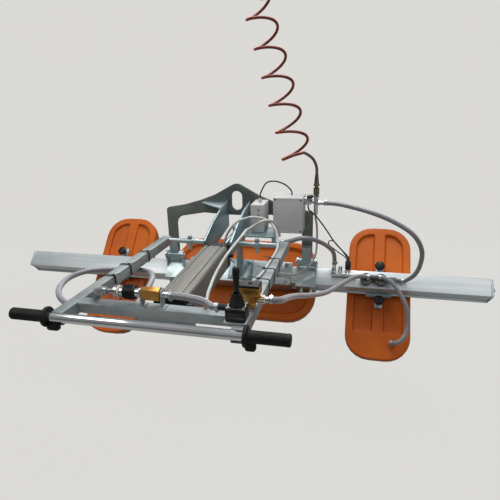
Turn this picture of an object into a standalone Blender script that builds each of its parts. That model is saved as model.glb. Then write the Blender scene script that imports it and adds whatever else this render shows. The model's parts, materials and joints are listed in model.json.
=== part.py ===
# Vacuum sheet lifter, hung from the eye of its bail with its pads tilted.
# Metres, +Z up. The origin is the centre of the bail's eye, +X runs along the beam and -Y points to the operator.
import math

import bmesh
import bpy
from mathutils import Matrix, Vector

CLEARANCE = 0.0003

# Tilt pivot, and the beam hung under it. "Ahead" is up the tilted pads, "above" is out of them.
TILT = math.radians(49.5)
PIVOT_DROP = 0.277
PIVOT_AHEAD = 0.0494
PIVOT_ABOVE = 0.0422
PIVOT_PIN_RADIUS = 0.008
PIVOT_EYE_RADIUS = 0.018

# Beam: a square tube with a lip along each lower edge for the pad holders
BEAM_LENGTH = 2.230
BEAM_SHIFT = -0.018
BEAM_WIDTH = 0.080
BEAM_DEPTH = 0.070
BEAM_WALL = 0.004
LIP_WIDTH = 0.096
LIP_THICKNESS = 0.007
END_CAP_THICKNESS = 0.008
END_KNOB_RADIUS = 0.008
END_KNOB_LENGTH = 0.014

# Centre sleeve round the beam, which carries the lever and the centre pad
SLEEVE_LENGTH = 0.500
SLEEVE_WIDTH = 0.110
SLEEVE_ABOVE = 0.012
SLEEVE_BELOW = 0.082

# Clamps at the bail's legs
CLAMP_CENTRE = 0.3197
CLAMP_LENGTH = 0.090
CLAMP_WALL = 0.008
CHEEK_RADIUS = 0.021

# Bail: one plate with two legs and the lifting eye
BAIL_THICKNESS = 0.012
BAIL_HALF_WIDTH = 0.343
LEG_WIDTH = 0.047
LEG_BOTTOM = 0.242
SHOULDER_DROP = 0.040
PEAK_RISE = 0.076
ROOF_DROP = 0.066
EYE_WIDTH = 0.050
EYE_HEIGHT = 0.087
STRAP_THICKNESS = 0.008
STRAP_HEIGHT = 0.048

# Hanger cheeks between the bail and the cylinder
CYLINDER_X = 0.010
HANGER_SPACING = 0.1056
HANGER_THICKNESS = 0.008
HANGER_REACH = 0.351
HANGER_ROOT = 0.118
HANGER_NOSE_TOP = 0.088
HANGER_NOSE_BOTTOM = 0.146
FLANGE_REACH = 0.110
FLANGE_THICKNESS = 0.006
OUTLET_AT = (0.196, 0.158, 0.138)
OUTLET_LENGTH = 0.0283
BARB_RADIUS = 0.0075
SHELF_LENGTH = 0.140
SHELF_THICKNESS = 0.006

# Handle frame
RAIL_OUTER = 0.270
RAIL_SIZE = 0.035
RAIL_WALL = 0.003
FRAME_TOP = -0.1145
FRAME_REAR = 0.2225
REAR_BAR_SETBACK = 0.0185
REAR_BAR_RADIUS = 0.0100
REAR_BAR_DROP = 0.0125
COLLAR_RADIUS = 0.0140
COLLAR_LENGTH = 0.030
COLLAR_X = 0.143
EYE_BOLT_FLATS = 0.014
FRONT_BAR_FACE = 0.902
FRONT_BAR_DEPTH = 0.040
FRONT_BAR_HEIGHT = 0.030
HANDLEBAR_RADIUS = 0.0135
HANDLEBAR_WALL = 0.002
HANDLEBAR_LENGTH = 0.766
HANDLEBAR_Y = 0.9776
HANDLEBAR_Z = -0.1245
GRIP_RADIUS = 0.0165
GRIP_GAP = 0.0010
GRIP_END = 0.004
GUARD_RADIUS = 0.028
GUARD_THICKNESS = 0.010
GUARD_LUG = 0.022
LUG_LENGTH = 0.028
LUG_WIDTH = 0.020

# Tilt cylinder, on an axis that falls towards the operator
CYLINDER_SLOPE = math.radians(2.7)
CYLINDER_SIZE = 0.095
CYLINDER_BORE = 0.080
BARREL_REAR = 0.3756
BARREL_FRONT = 0.790
CAP_LENGTH = 0.030
FRONT_CAP_LENGTH = 0.034
ROD_RADIUS = 0.0125
PISTON_LENGTH = 0.030
PISTON_Y = 0.530
LEVER_RADIUS = 0.150
LEVER_THICKNESS = 0.020
LEVER_PIN_RADIUS = 0.008
YOKE_PLATE = 0.008
YOKE_CLEARANCE = 0.0046
YOKE_WALL = 0.010

# Pads
PAD_LENGTH = 0.628
PAD_WIDTH = 0.280
PAD_CORNER = 0.105
PAD_THICKNESS = 0.047
PAD_RIM = 0.034
PAD_RIB = 0.050
PAD_POCKET = 0.014
PAD_FOOT = 0.120
CENTRE_PAD_LENGTH = 0.720
CENTRE_PAD_WIDTH = 0.400
CENTRE_PAD_CORNER = 0.130
SEAL_HEIGHT = 0.020
SEAL_WIDTH = 0.022
SEAL_INSET = 0.006
PAD_SHIFT = -0.020
RIGHT_PAD_X = 0.645
LEFT_PAD_X = -0.650
HOLDER_LENGTH = 0.110
HOLDER_LUG = 0.052
HOLDER_LUG_INSET = 0.0010
HOLDER_WIDTH = 0.214
HOLDER_THICKNESS = 0.012
JAW_THICKNESS = 0.008
KNOB_SPACING = 0.162
KNOB_RADIUS = 0.023
KNOB_HEIGHT = 0.026
STUD_RADIUS = 0.006
BOSS_RADIUS = 0.013
BOSS_HEIGHT = 0.018
PORT_OUT = 0.062
PORT_AHEAD = -0.263

# Boxes on the bail's front
SWITCH_BOX = (0.058, 0.112, 0.120)
SWITCH_BOX_X = 0.117
ENCLOSURE = (0.125, 0.088, 0.152)
ENCLOSURE_X = 0.2475
LID_DEPTH = 0.020
BOX_FLOOR = -0.1115

# Inlet on the enclosure's side, with its quick coupling
INLET_X = 0.359
INLET_Y = 0.060
INLET_RADIUS = 0.009
COUPLING_RADIUS = 0.0125

# Valves on the handle frame
LEVER_VALVE_X = 0.240
LEVER_VALVE_Y = 0.920
VALVE_BODY = (0.053, 0.048, 0.034)
VALVE_PLATE = (0.060, 0.056, 0.006)
VALVE_SCREW_SPREAD = (0.0205, 0.0180)
BOOT_HEIGHT = 0.036
VALVE_PIVOT_RISE = 0.022
VALVE_LEVER_RISE = 0.084
VALVE_BALL_RADIUS = 0.005
SLIDE_VALVE_Y = 0.880
SLIDE_VALVE_Z = -0.078
BRASS_BLOCK_Y = 0.830
BLOCK_FOOT = (0.028, 0.034, 0.036)
BLOCK_HEAD = (0.060, 0.044, 0.026)

# Hoses and cables
HOSE_RADIUS = 0.0095
CABLE_RADIUS = 0.003
AIR_HOSE_RADIUS = 0.006
COIL_RADIUS = 0.066

BLACK = ((0.015, 0.015, 0.016), 0.45, 0.0)
ZINC = ((0.60, 0.66, 0.70), 0.35, 0.9)
STEEL_GREY = ((0.16, 0.18, 0.17), 0.5, 0.4)
FRAME_GREY = ((0.30, 0.33, 0.31), 0.45, 0.5)
CHROME = ((0.80, 0.81, 0.82), 0.12, 1.0)
BRASS = ((0.62, 0.38, 0.09), 0.28, 1.0)
ALUMINIUM = ((0.55, 0.55, 0.53), 0.4, 0.8)
ORANGE = ((0.72, 0.17, 0.012), 0.42, 0.0)
SEAL_GREY = ((0.10, 0.10, 0.10), 0.8, 0.0)
BOX_GREY = ((0.42, 0.42, 0.41), 0.5, 0.0)
HOSE_GREY = ((0.34, 0.35, 0.37), 0.35, 0.0)
HOSE_ORANGE = ((0.55, 0.13, 0.03), 0.4, 0.0)

for item in list(bpy.data.objects):
    bpy.data.objects.remove(item, do_unlink=True)
lifter = bpy.data.collections.new("vacuum_sheet_lifter")
cutters = bpy.data.collections.new("cutters")
bpy.context.scene.collection.children.link(lifter)
bpy.context.scene.collection.children.link(cutters)


def material(finish):
    """One Principled material for each finish."""
    colour, roughness, metallic = finish
    name = "finish_%02d_%02d_%02d" % tuple(round(99 * part) for part in colour)
    made = bpy.data.materials.get(name) or bpy.data.materials.new(name)
    made.use_nodes = True
    shader = made.node_tree.nodes["Principled BSDF"]
    shader.inputs["Base Color"].default_value = (*colour, 1)
    shader.inputs["Roughness"].default_value = roughness
    shader.inputs["Metallic"].default_value = metallic
    return made


def put(name, data, parent, location, turn, finish):
    """An object in the lifter's collection, or without a finish a helper in the cutters' one."""
    thing = bpy.data.objects.new(name, data)
    thing.parent = parent
    thing.location = location
    thing.rotation_euler = turn
    if finish:
        lifter.objects.link(thing)
        thing.data.materials.clear()
        thing.data.materials.append(material(finish))
    else:
        cutters.objects.link(thing)
        thing.hide_render = True
        thing.display_type = "WIRE"
    return thing


def empty(name, location, turn=(0, 0, 0), parent=None):
    frame = bpy.data.objects.new(name, None)
    frame.location = location
    frame.rotation_euler = turn
    frame.parent = parent
    lifter.objects.link(frame)
    return frame


def rounded(thing, width, segments=2):
    edge = thing.modifiers.new("rounded edges", "BEVEL")
    edge.width = width
    edge.segments = segments
    edge.limit_method = "ANGLE"
    edge.angle_limit = math.radians(40)


def box(name, low, high, finish=None, parent=None, bevel=0.0):
    """A box between two corners in its parent's frame."""
    low, high = Vector(low), Vector(high)
    shape = bmesh.new()
    bmesh.ops.create_cube(shape, size=1, matrix=Matrix.Diagonal((*(high - low), 1)))
    mesh = bpy.data.meshes.new(name)
    shape.to_mesh(mesh)
    shape.free()
    thing = put(name, mesh, parent, (low + high) / 2, (0, 0, 0), finish)
    if bevel:
        rounded(thing, bevel)
    return thing


def toward(direction):
    """The turn that points a shape's own Z along a direction."""
    return Vector(direction).to_track_quat("Z", "Y").to_euler()


def cylinder(name, start, end, radius, finish=None, parent=None, sides=16, bevel=0.0):
    """A round bar from start to end."""
    start, end = Vector(start), Vector(end)
    shape = bmesh.new()
    bmesh.ops.create_cone(
        shape, cap_ends=True, segments=sides, radius1=radius, radius2=radius, depth=(end - start).length
    )
    mesh = bpy.data.meshes.new(name)
    shape.to_mesh(mesh)
    shape.free()
    mesh.shade_smooth()
    mesh.set_sharp_from_angle(angle=math.radians(35))
    thing = put(name, mesh, parent, (start + end) / 2, toward(end - start), finish)
    if bevel:
        rounded(thing, bevel)
    return thing


def turned(name, profile, base, direction, finish=None, parent=None, sides=18):
    """A profile of (radius, height) points, from the top down, swept round an axis through base."""
    mesh = bpy.data.meshes.new(name)
    points = [(radius, 0, height) for radius, height in profile]
    mesh.from_pydata(points, [(i, i + 1) for i in range(len(points) - 1)], [])
    thing = put(name, mesh, parent, base, toward(direction), finish)
    sweep = thing.modifiers.new("sweep", "SCREW")
    sweep.steps = sides
    sweep.render_steps = sides
    sweep.use_merge_vertices = True
    sweep.merge_threshold = 0.0001
    return thing


def as_mesh(thing, finish):
    """Makes a curve a mesh with its caps welded, in the same place."""
    bpy.context.view_layer.update()
    evaluated = thing.evaluated_get(bpy.context.evaluated_depsgraph_get())
    mesh = bpy.data.meshes.new_from_object(evaluated)
    shape = bmesh.new()
    shape.from_mesh(mesh)
    bmesh.ops.remove_doubles(shape, verts=shape.verts, dist=0.00001)
    bmesh.ops.recalc_face_normals(shape, faces=shape.faces)
    shape.to_mesh(mesh)
    shape.free()
    name, parent = thing.name, thing.parent
    location, turn = thing.location.copy(), thing.rotation_euler.copy()
    bpy.data.objects.remove(thing, do_unlink=True)
    return put(name, mesh, parent, location, turn, finish)


ACROSS = (math.pi / 2, 0, math.pi / 2)
UPRIGHT = (math.pi / 2, 0, 0)
FLAT = (0, 0, 0)


def slab(name, loops, thickness, centre, turn, finish=None, parent=None, bevel=0.0):
    """A flat outline, with its holes, given half its thickness to each side."""
    curve = bpy.data.curves.new(name, "CURVE")
    curve.dimensions = "2D"
    curve.fill_mode = "BOTH"
    curve.extrude = thickness / 2
    for loop in loops:
        line = curve.splines.new("POLY")
        line.points.add(len(loop) - 1)
        for point, (x, y) in zip(line.points, loop):
            point.co = (x, y, 0, 1)
        line.use_cyclic_u = True
    thing = as_mesh(put(name, curve, parent, centre, turn, None), finish)
    if bevel:
        rounded(thing, bevel)
    return thing


def smooth_route(points, step):
    """Points about a step apart on a smooth curve through the chosen ones, with straight leads at both ends."""
    points = [Vector(point) for point in points]
    fine = [points[1]]
    parts = 12
    for before, start, end, after in zip(points, points[1:], points[2:], points[3:]):
        for i in range(1, parts + 1):
            t = i / parts
            bend = (end - before) * t
            bend += (2 * before - 5 * start + 4 * end - after) * t * t
            bend += (3 * start - before - 3 * end + after) * t**3
            fine.append(start + bend / 2)
    length = sum((b - a).length for a, b in zip(fine, fine[1:]))
    count = max(2, round(length / step))
    route, walked = [points[0], fine[0]], 0.0
    for a, b in zip(fine, fine[1:]):
        span = (b - a).length
        while len(route) <= count and walked + span >= (len(route) - 1) * length / count:
            route.append(a.lerp(b, ((len(route) - 1) * length / count - walked) / span))
        walked += span
    return [*route, fine[-1], points[-1]]


def hose(name, points, radius, finish, step=None, resolution=2):
    """A round hose along a smooth route, straight out of its fittings, as a curve with filled caps."""
    curve = bpy.data.curves.new(name, "CURVE")
    curve.dimensions = "3D"
    curve.bevel_depth = radius
    curve.bevel_resolution = resolution
    curve.use_fill_caps = True
    line = curve.splines.new("POLY")
    route = smooth_route(points, step or 3.6 * radius)
    line.points.add(len(route) - 1)
    for point, place in zip(line.points, route):
        point.co = (*place, 1)
    return as_mesh(put(name, curve, None, (0, 0, 0), FLAT, None), finish)


def join(thing, *others):
    for other in others:
        union = thing.modifiers.new("join " + other.name, "BOOLEAN")
        union.operation = "UNION"
        union.object = other
    return thing


def cut(thing, *others):
    for other in others:
        difference = thing.modifiers.new("cut " + other.name, "BOOLEAN")
        difference.operation = "DIFFERENCE"
        difference.object = other
    return thing


def arc(centre, radius, start, end, count):
    """Points on an arc between two angles in degrees."""
    angles = [math.radians(start + (end - start) * i / (count - 1)) for i in range(count)]
    return [(centre[0] + radius * math.cos(a), centre[1] + radius * math.sin(a)) for a in angles]


def rounded_rectangle(width, height, corner, count=7):
    """A rectangle round the origin with round corners."""
    x, y = width / 2 - corner, height / 2 - corner
    return [
        point
        for quarter, (cx, cy) in enumerate(((x, y), (-x, y), (-x, -y), (x, -y)))
        for point in arc((cx, cy), corner, 90 * quarter, 90 * quarter + 90, count)
    ]


def rectangle(x0, y0, x1, y1):
    return [(x0, y0), (x1, y0), (x1, y1), (x0, y1)]


# Everything on the beam hangs on tilt_axis, whose own Y runs up the pads and whose own Z points out of them.
tilt_axis = empty("tilt_axis", (0, 0, -PIVOT_DROP), (TILT, 0, 0))


def on_beam(x, ahead, above):
    """A point given from the middle of the beam's top face, in tilt_axis's frame."""
    return Vector((x, ahead - PIVOT_AHEAD, above - PIVOT_ABOVE))


def beam_box(name, low, high, finish=None, bevel=0.0, parent=tilt_axis):
    return box(name, on_beam(*low), on_beam(*high), finish, parent, bevel)


def beam_section(gap):
    """The beam's outline across its length, grown by a gap, from the middle of its top face."""
    half, lip = BEAM_WIDTH / 2 + gap, LIP_WIDTH / 2 + gap
    bottom, shoulder = -BEAM_DEPTH - gap, LIP_THICKNESS - BEAM_DEPTH + gap
    right = [(lip, bottom), (lip, shoulder), (half, shoulder), (half, gap)]
    return right + [(-x, y) for x, y in reversed(right)]


def hexagon(name, start, end, across_flats, finish=None, parent=None, bevel=0.0):
    return cylinder(name, start, end, across_flats / math.sqrt(3), finish, parent, sides=6, bevel=bevel)


BOLT_FLATS = 0.013
BOLT_HEAD = 0.006
BOLT_SINK = 0.003


def bolt_head(name, seat, direction, parent=None):
    """A hexagon head that is sunk a little into the face it sits on, so that it joins it."""
    seat, direction = Vector(seat), Vector(direction).normalized()
    return hexagon(name, seat - direction * BOLT_SINK, seat + direction * BOLT_HEAD, BOLT_FLATS, None, parent)


def make_bail():
    inner = BAIL_HALF_WIDTH - LEG_WIDTH
    right_top = [
        (BAIL_HALF_WIDTH, -LEG_BOTTOM),
        *arc((BAIL_HALF_WIDTH - 0.014, -SHOULDER_DROP - 0.014), 0.014, 0, 75, 4),
        (0.253, -0.026),
        (0.177, -0.004),
        (0.104, 0.024),
        *arc((0, PEAK_RISE - 0.045), 0.045, 66, 90, 3),
    ]
    left_top = [(-x, z) for x, z in reversed(right_top[:-1])]
    window = [
        (-inner, -LEG_BOTTOM),
        *arc((-inner + 0.040, -ROOF_DROP - 0.052), 0.040, 180, 100, 4),
        (-0.156, -ROOF_DROP + 0.006),
        (-0.060, -ROOF_DROP),
    ]
    window += [(-x, z) for x, z in reversed(window)]
    eye = rounded_rectangle(EYE_WIDTH, EYE_HEIGHT, EYE_WIDTH / 2 - 0.0005)
    outline = right_top + left_top + window
    slab("bail_plate", [outline, eye], BAIL_THICKNESS, (0, 0, 0), UPRIGHT, STEEL_GREY)


def make_bail_feet():
    half_gap = CLAMP_LENGTH / 2 - CLAMP_WALL - CLEARANCE
    strap_half = LEG_WIDTH / 2 - 0.002
    inside = BAIL_THICKNESS / 2 + CLEARANCE
    outside = inside + STRAP_THICKNESS
    strap_top = STRAP_HEIGHT - LEG_BOTTOM
    for side, x in (("left", -CLAMP_CENTRE), ("right", CLAMP_CENTRE)):
        pivot = Vector((x, 0, -PIVOT_DROP))
        along = Vector((half_gap, 0, 0))
        foot = cylinder("bail_foot_" + side, pivot - along, pivot + along, PIVOT_EYE_RADIUS, ZINC)
        block = box("foot_block_" + side, (x - strap_half, -outside, -PIVOT_DROP), (x + strap_half, outside, strap_top))
        slot = box(
            "foot_slot_" + side, (x - LEG_WIDTH, -inside, -LEG_BOTTOM - CLEARANCE), (x + LEG_WIDTH, inside, strap_top + 0.01)
        )
        bore = cylinder("foot_bore_" + side, pivot - 2 * along, pivot + 2 * along, PIVOT_PIN_RADIUS + CLEARANCE)
        bolts = [
            bolt_head("foot_bolt_%s_%d" % (side, i), (x + shift, -outside, strap_top - 0.015), (0, -1, 0))
            for i, shift in enumerate((-0.012, 0.012))
        ]
        join(foot, block, *bolts)
        cut(foot, slot, bore)


def make_hangers():
    """The two cheeks that carry the cylinder's rear, each cut from plate and bent."""
    back = BAIL_THICKNESS / 2 + CLEARANCE
    outline = [
        (-back, -HANGER_ROOT),
        (-back, 0.002),
        (-0.125, -0.014),
        (-0.235, -0.043),
        (-HANGER_REACH, -HANGER_NOSE_TOP),
        (-HANGER_REACH, -HANGER_NOSE_BOTTOM),
        (-0.200, -HANGER_NOSE_BOTTOM),
    ]
    for side, sign in (("left", -1), ("right", 1)):
        x = CYLINDER_X + sign * HANGER_SPACING / 2
        cheek = slab("hanger_" + side, [outline], HANGER_THICKNESS, (x, 0, 0), ACROSS, ZINC)
        if side == "left":
            inside, outside = x + HANGER_THICKNESS / 4, x - FLANGE_REACH
            corners = [(inside, -back), (outside, -back), (outside - 0.008, -0.030), (inside, -0.130)]
            flange = slab("hanger_flange", [corners], FLANGE_THICKNESS, (0, 0, -0.0105), FLAT)
            join(cheek, flange)
        else:
            shelf_z = BOX_FLOOR - CLEARANCE
            shelf = box(
                "hanger_shelf",
                (x, -0.176, shelf_z - SHELF_THICKNESS),
                (x + SHELF_LENGTH, -0.020, shelf_z),
            )
            outlet = Vector((OUTLET_AT[0], -OUTLET_AT[1], -OUTLET_AT[2]))
            elbow_top = (outlet.x, outlet.y, shelf_z - SHELF_THICKNESS / 2)
            elbow = cylinder("hanger_elbow", outlet - Vector((0, 0, BARB_RADIUS + 0.002)), elbow_top, 0.009)
            barb = cylinder("hanger_barb", outlet, outlet + Vector((OUTLET_LENGTH, 0, 0)), BARB_RADIUS)
            join(cheek, shelf, elbow, barb)


def make_handle_frame():
    """Two rails and two crossbars, hollow all through and open at the rails' ends."""
    top, rail_bottom = FRAME_TOP, FRAME_TOP - RAIL_SIZE
    rail_inner = RAIL_OUTER - RAIL_SIZE
    rail_front = -HANDLEBAR_Y + 0.004
    front_low = (-rail_inner - 0.005, -FRONT_BAR_FACE, top - FRONT_BAR_HEIGHT)
    front_high = (rail_inner + 0.005, -FRONT_BAR_FACE + FRONT_BAR_DEPTH, top - 0.0008)
    wall = RAIL_WALL
    frame = box("handle_frame", front_low, front_high, FRAME_GREY)
    hollows = [
        box(
            "front_bar_hollow",
            (-rail_inner - RAIL_SIZE / 2, front_low[1] + wall, front_low[2] + wall),
            (rail_inner + RAIL_SIZE / 2, front_high[1] - wall, front_high[2] - wall),
        )
    ]
    hanger_gap = HANGER_SPACING / 2 + HANGER_THICKNESS / 2 + CLEARANCE
    bar_y, bar_z = -FRAME_REAR - REAR_BAR_SETBACK, top - REAR_BAR_DROP
    for sign in (-1, 1):
        xs = sorted((sign * RAIL_OUTER, sign * rail_inner))
        join(frame, box("rail_%d" % sign, (xs[0], rail_front, rail_bottom), (xs[1], -FRAME_REAR, top)))
        hollows.append(
            box(
                "rail_hollow_%d" % sign,
                (xs[0] + wall, rail_front - 0.01, rail_bottom + wall),
                (xs[1] - wall, -FRAME_REAR + 0.01, top - wall),
            )
        )
        bar_start = (CYLINDER_X + sign * hanger_gap, bar_y, bar_z)
        bar_end = (sign * (rail_inner + wall / 2), bar_y, bar_z)
        bar = cylinder("rear_bar_%d" % sign, bar_start, bar_end, REAR_BAR_RADIUS)
        collar_x = (sign * COLLAR_X - COLLAR_LENGTH / 2, sign * COLLAR_X + COLLAR_LENGTH / 2)
        collar = cylinder(
            "rear_collar_%d" % sign, (collar_x[0], bar_y, bar_z), (collar_x[1], bar_y, bar_z), COLLAR_RADIUS
        )
        eye_bolt = hexagon(
            "rear_eye_bolt_%d" % sign,
            (sign * COLLAR_X, bar_y, bar_z - 0.036),
            (sign * COLLAR_X, bar_y, bar_z + 0.024),
            EYE_BOLT_FLATS,
        )
        join(frame, bar, collar, eye_bolt)
    saddle = cylinder(
        "handlebar_saddle",
        (-RAIL_OUTER - 0.01, -HANDLEBAR_Y, HANDLEBAR_Z),
        (RAIL_OUTER + 0.01, -HANDLEBAR_Y, HANDLEBAR_Z),
        HANDLEBAR_RADIUS + CLEARANCE,
        sides=32,
    )
    cut(frame, *hollows, saddle)
    for x in (-0.042, 0.018):
        foot = box("valve_foot_%.3f" % x, (x - 0.012, -FRONT_BAR_FACE + 0.002, top - 0.002), (x + 0.012, -0.866, top + 0.002))
        blade = box("valve_blade_%.3f" % x, (x - 0.0015, -0.892, top - 0.001), (x + 0.0015, -0.868, SLIDE_VALVE_Z + 0.014))
        hole = cylinder(
            "valve_hole_%.3f" % x,
            (x - 0.01, -SLIDE_VALVE_Y, SLIDE_VALVE_Z),
            (x + 0.01, -SLIDE_VALVE_Y, SLIDE_VALVE_Z),
            0.0075 + CLEARANCE,
        )
        join(frame, foot, blade)
        cut(frame, hole)


def make_handlebar():
    half = HANDLEBAR_LENGTH / 2
    bar = cylinder("handlebar", (-half, -HANDLEBAR_Y, HANDLEBAR_Z), (half, -HANDLEBAR_Y, HANDLEBAR_Z), HANDLEBAR_RADIUS, CHROME)
    hollow = cylinder(
        "handlebar_hollow", (-half - 0.01, -HANDLEBAR_Y, HANDLEBAR_Z), (half + 0.01, -HANDLEBAR_Y, HANDLEBAR_Z), HANDLEBAR_RADIUS - HANDLEBAR_WALL
    )
    cut(bar, hollow)
    for side, sign in (("left", -1), ("right", 1)):
        inner, outer = RAIL_OUTER + GRIP_GAP, half + GRIP_END
        bore = HANDLEBAR_RADIUS + CLEARANCE
        profile = [
            (0.004, outer),
            (GRIP_RADIUS - 0.003, outer),
            (GRIP_RADIUS, outer - 0.004),
            (GRIP_RADIUS, inner + GUARD_THICKNESS),
            (GUARD_RADIUS, inner + GUARD_THICKNESS - 0.003),
            (GUARD_RADIUS, inner),
            (bore, inner),
            (bore, half + CLEARANCE),
            (0.004, half + CLEARANCE),
            (0.004, outer),
        ]
        grip = turned("grip_" + side, profile, (0, -HANDLEBAR_Y, HANDLEBAR_Z), (sign, 0, 0), BLACK)
        lug_x = sorted((sign * (inner + 0.002), sign * (inner + 0.002 + LUG_LENGTH)))
        lug = box(
            "grip_lug_" + side,
            (lug_x[0], -HANDLEBAR_Y - LUG_WIDTH / 2, HANDLEBAR_Z - GRIP_RADIUS - GUARD_LUG),
            (lug_x[1], -HANDLEBAR_Y + LUG_WIDTH / 2, HANDLEBAR_Z - bore - 0.001),
        )
        join(grip, lug)


def make_lever_valve():
    """The hand valve on the right rail: a block on a plate, a rubber boot and the lever standing in it."""
    x, y, seat = LEVER_VALVE_X, -LEVER_VALVE_Y, FRAME_TOP + CLEARANCE
    half_x, half_y, height = VALVE_BODY[0] / 2, VALVE_BODY[1] / 2, VALVE_BODY[2]
    plate_x, plate_y, plate_top = VALVE_PLATE[0] / 2, VALVE_PLATE[1] / 2, seat + VALVE_PLATE[2]
    body_top = plate_top + height
    low, high = (x - half_x, y - half_y, plate_top - 0.0005), (x + half_x, y + half_y, body_top)
    body = box("lever_valve_body", low, high, BLACK, bevel=0.004)
    plate = box("lever_valve_plate", (x - plate_x, y - plate_y, seat), (x + plate_x, y + plate_y, plate_top))
    join(body, plate)
    screw_x, screw_y = VALVE_SCREW_SPREAD
    for i, (dx, dy) in enumerate(((-screw_x, -screw_y), (screw_x, -screw_y), (-screw_x, screw_y), (screw_x, screw_y))):
        low, high = (x + dx, y + dy, body_top - 0.004), (x + dx, y + dy, body_top + 0.002)
        join(body, cylinder("lever_valve_screw_%d" % i, low, high, 0.0035, sides=8))
    inlet_y, inlet_z = y + 0.006, seat + 0.030
    inlet = cylinder("lever_valve_inlet", (x - half_x + 0.003, inlet_y, inlet_z), (x - 0.050, inlet_y, inlet_z), 0.0085)
    join(body, inlet)

    post_top = body_top + VALVE_PIVOT_RISE - VALVE_BALL_RADIUS
    post = cylinder("lever_valve_post", (x, y, body_top - 0.002), (x, y, post_top), 0.004)
    join(body, post)

    foot = body_top + CLEARANCE
    boot = [
        (0.0096, foot + BOOT_HEIGHT),
        (0.0112, foot + BOOT_HEIGHT),
        (0.0135, foot + 0.026),
        (0.0185, foot + 0.006),
        (0.0210, foot),
        (0.0130, foot),
        (0.0096, foot + BOOT_HEIGHT),
    ]
    turned("valve_bellows", boot, (x, y, 0), (0, 0, 1), BLACK)
    pivot = empty("valve_lever_axis", (x, y, foot + VALVE_PIVOT_RISE))
    lever = [
        (0, VALVE_LEVER_RISE),
        (0.0070, VALVE_LEVER_RISE - 0.002),
        (0.0095, VALVE_LEVER_RISE - 0.010),
        (0.0085, VALVE_LEVER_RISE - 0.034),
        (0.0060, VALVE_LEVER_RISE - 0.060),
        (0.0050, VALVE_LEVER_RISE - 0.066),
        *[(VALVE_BALL_RADIUS * math.cos(a), -VALVE_BALL_RADIUS * math.sin(a)) for a in (0, 0.5, 1.0)],
        (0, -VALVE_BALL_RADIUS),
    ]
    turned("valve_lever", lever, (0, 0, 0), (0, 0, 1), BLACK, pivot)


def make_brass_block():
    """The block on the right rail: brass body, coil on top and an elbow each side."""
    y, seat = -BRASS_BLOCK_Y, FRAME_TOP + CLEARANCE
    x = RAIL_OUTER - RAIL_SIZE / 2
    foot_x, foot_y, foot_top = BLOCK_FOOT[0] / 2, BLOCK_FOOT[1] / 2, seat + BLOCK_FOOT[2]
    head_x, head_y, head_top = BLOCK_HEAD[0] / 2, BLOCK_HEAD[1] / 2, foot_top + BLOCK_HEAD[2]
    block = box("brass_block", (x - head_x, y - head_y, foot_top), (x + head_x, y + head_y, head_top), BRASS, bevel=0.003)
    foot = box("brass_block_foot", (x - foot_x, y - foot_y, seat), (x + foot_x, y + foot_y, foot_top + 0.001))
    left = hexagon("brass_block_left", (x - 0.010, y, seat + 0.018), (x - 0.046, y, seat + 0.018), 0.016)
    right = hexagon("brass_block_right", (x + 0.010, y, seat + 0.022), (x + 0.042, y, seat + 0.022), 0.020)
    barb = cylinder("brass_block_barb", (x + 0.036, y, seat + 0.022), (x + 0.054, y, seat + 0.022), 0.0085)
    join(block, foot, left, right, barb)


def make_slide_valve():
    y, z = -SLIDE_VALVE_Y, SLIDE_VALVE_Z
    centre = (0, y, z)
    spool = 0.0075
    sleeve_bore = 0.0135
    profile = [
        (0, 0.036),
        (spool, 0.036),
        (spool, 0.0185 - 0.0030),
        (0.0185, 0.0185 - 0.0034),
        (0.0200, 0.0125),
        (0.0200, -0.0365),
        (0.0180, -0.0390),
        (0.0110, -0.0392),
        (0.0110, -0.0405),
        (spool, -0.0405),
        (spool, -0.0445),
        (0.0130, -0.0446),
        (sleeve_bore - CLEARANCE, -0.0500),
        (sleeve_bore - CLEARANCE, -0.1110),
        (0.0180, -0.1112),
        (0.0180, -0.1220),
        (0.0085, -0.1222),
        (0.0085, -0.1450),
        (0, -0.1450),
    ]
    turned("slide_valve_body", profile, centre, (1, 0, 0), BRASS, sides=18)
    sleeve = [
        (sleeve_bore, -0.0600),
        (0.0190, -0.0600),
        (0.0210, -0.0625),
        (0.0210, -0.0915),
        (0.0190, -0.0940),
        (sleeve_bore, -0.0940),
        (sleeve_bore, -0.0600),
    ]
    turned("slide_valve_sleeve", sleeve, centre, (1, 0, 0), BLACK, sides=18)


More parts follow.
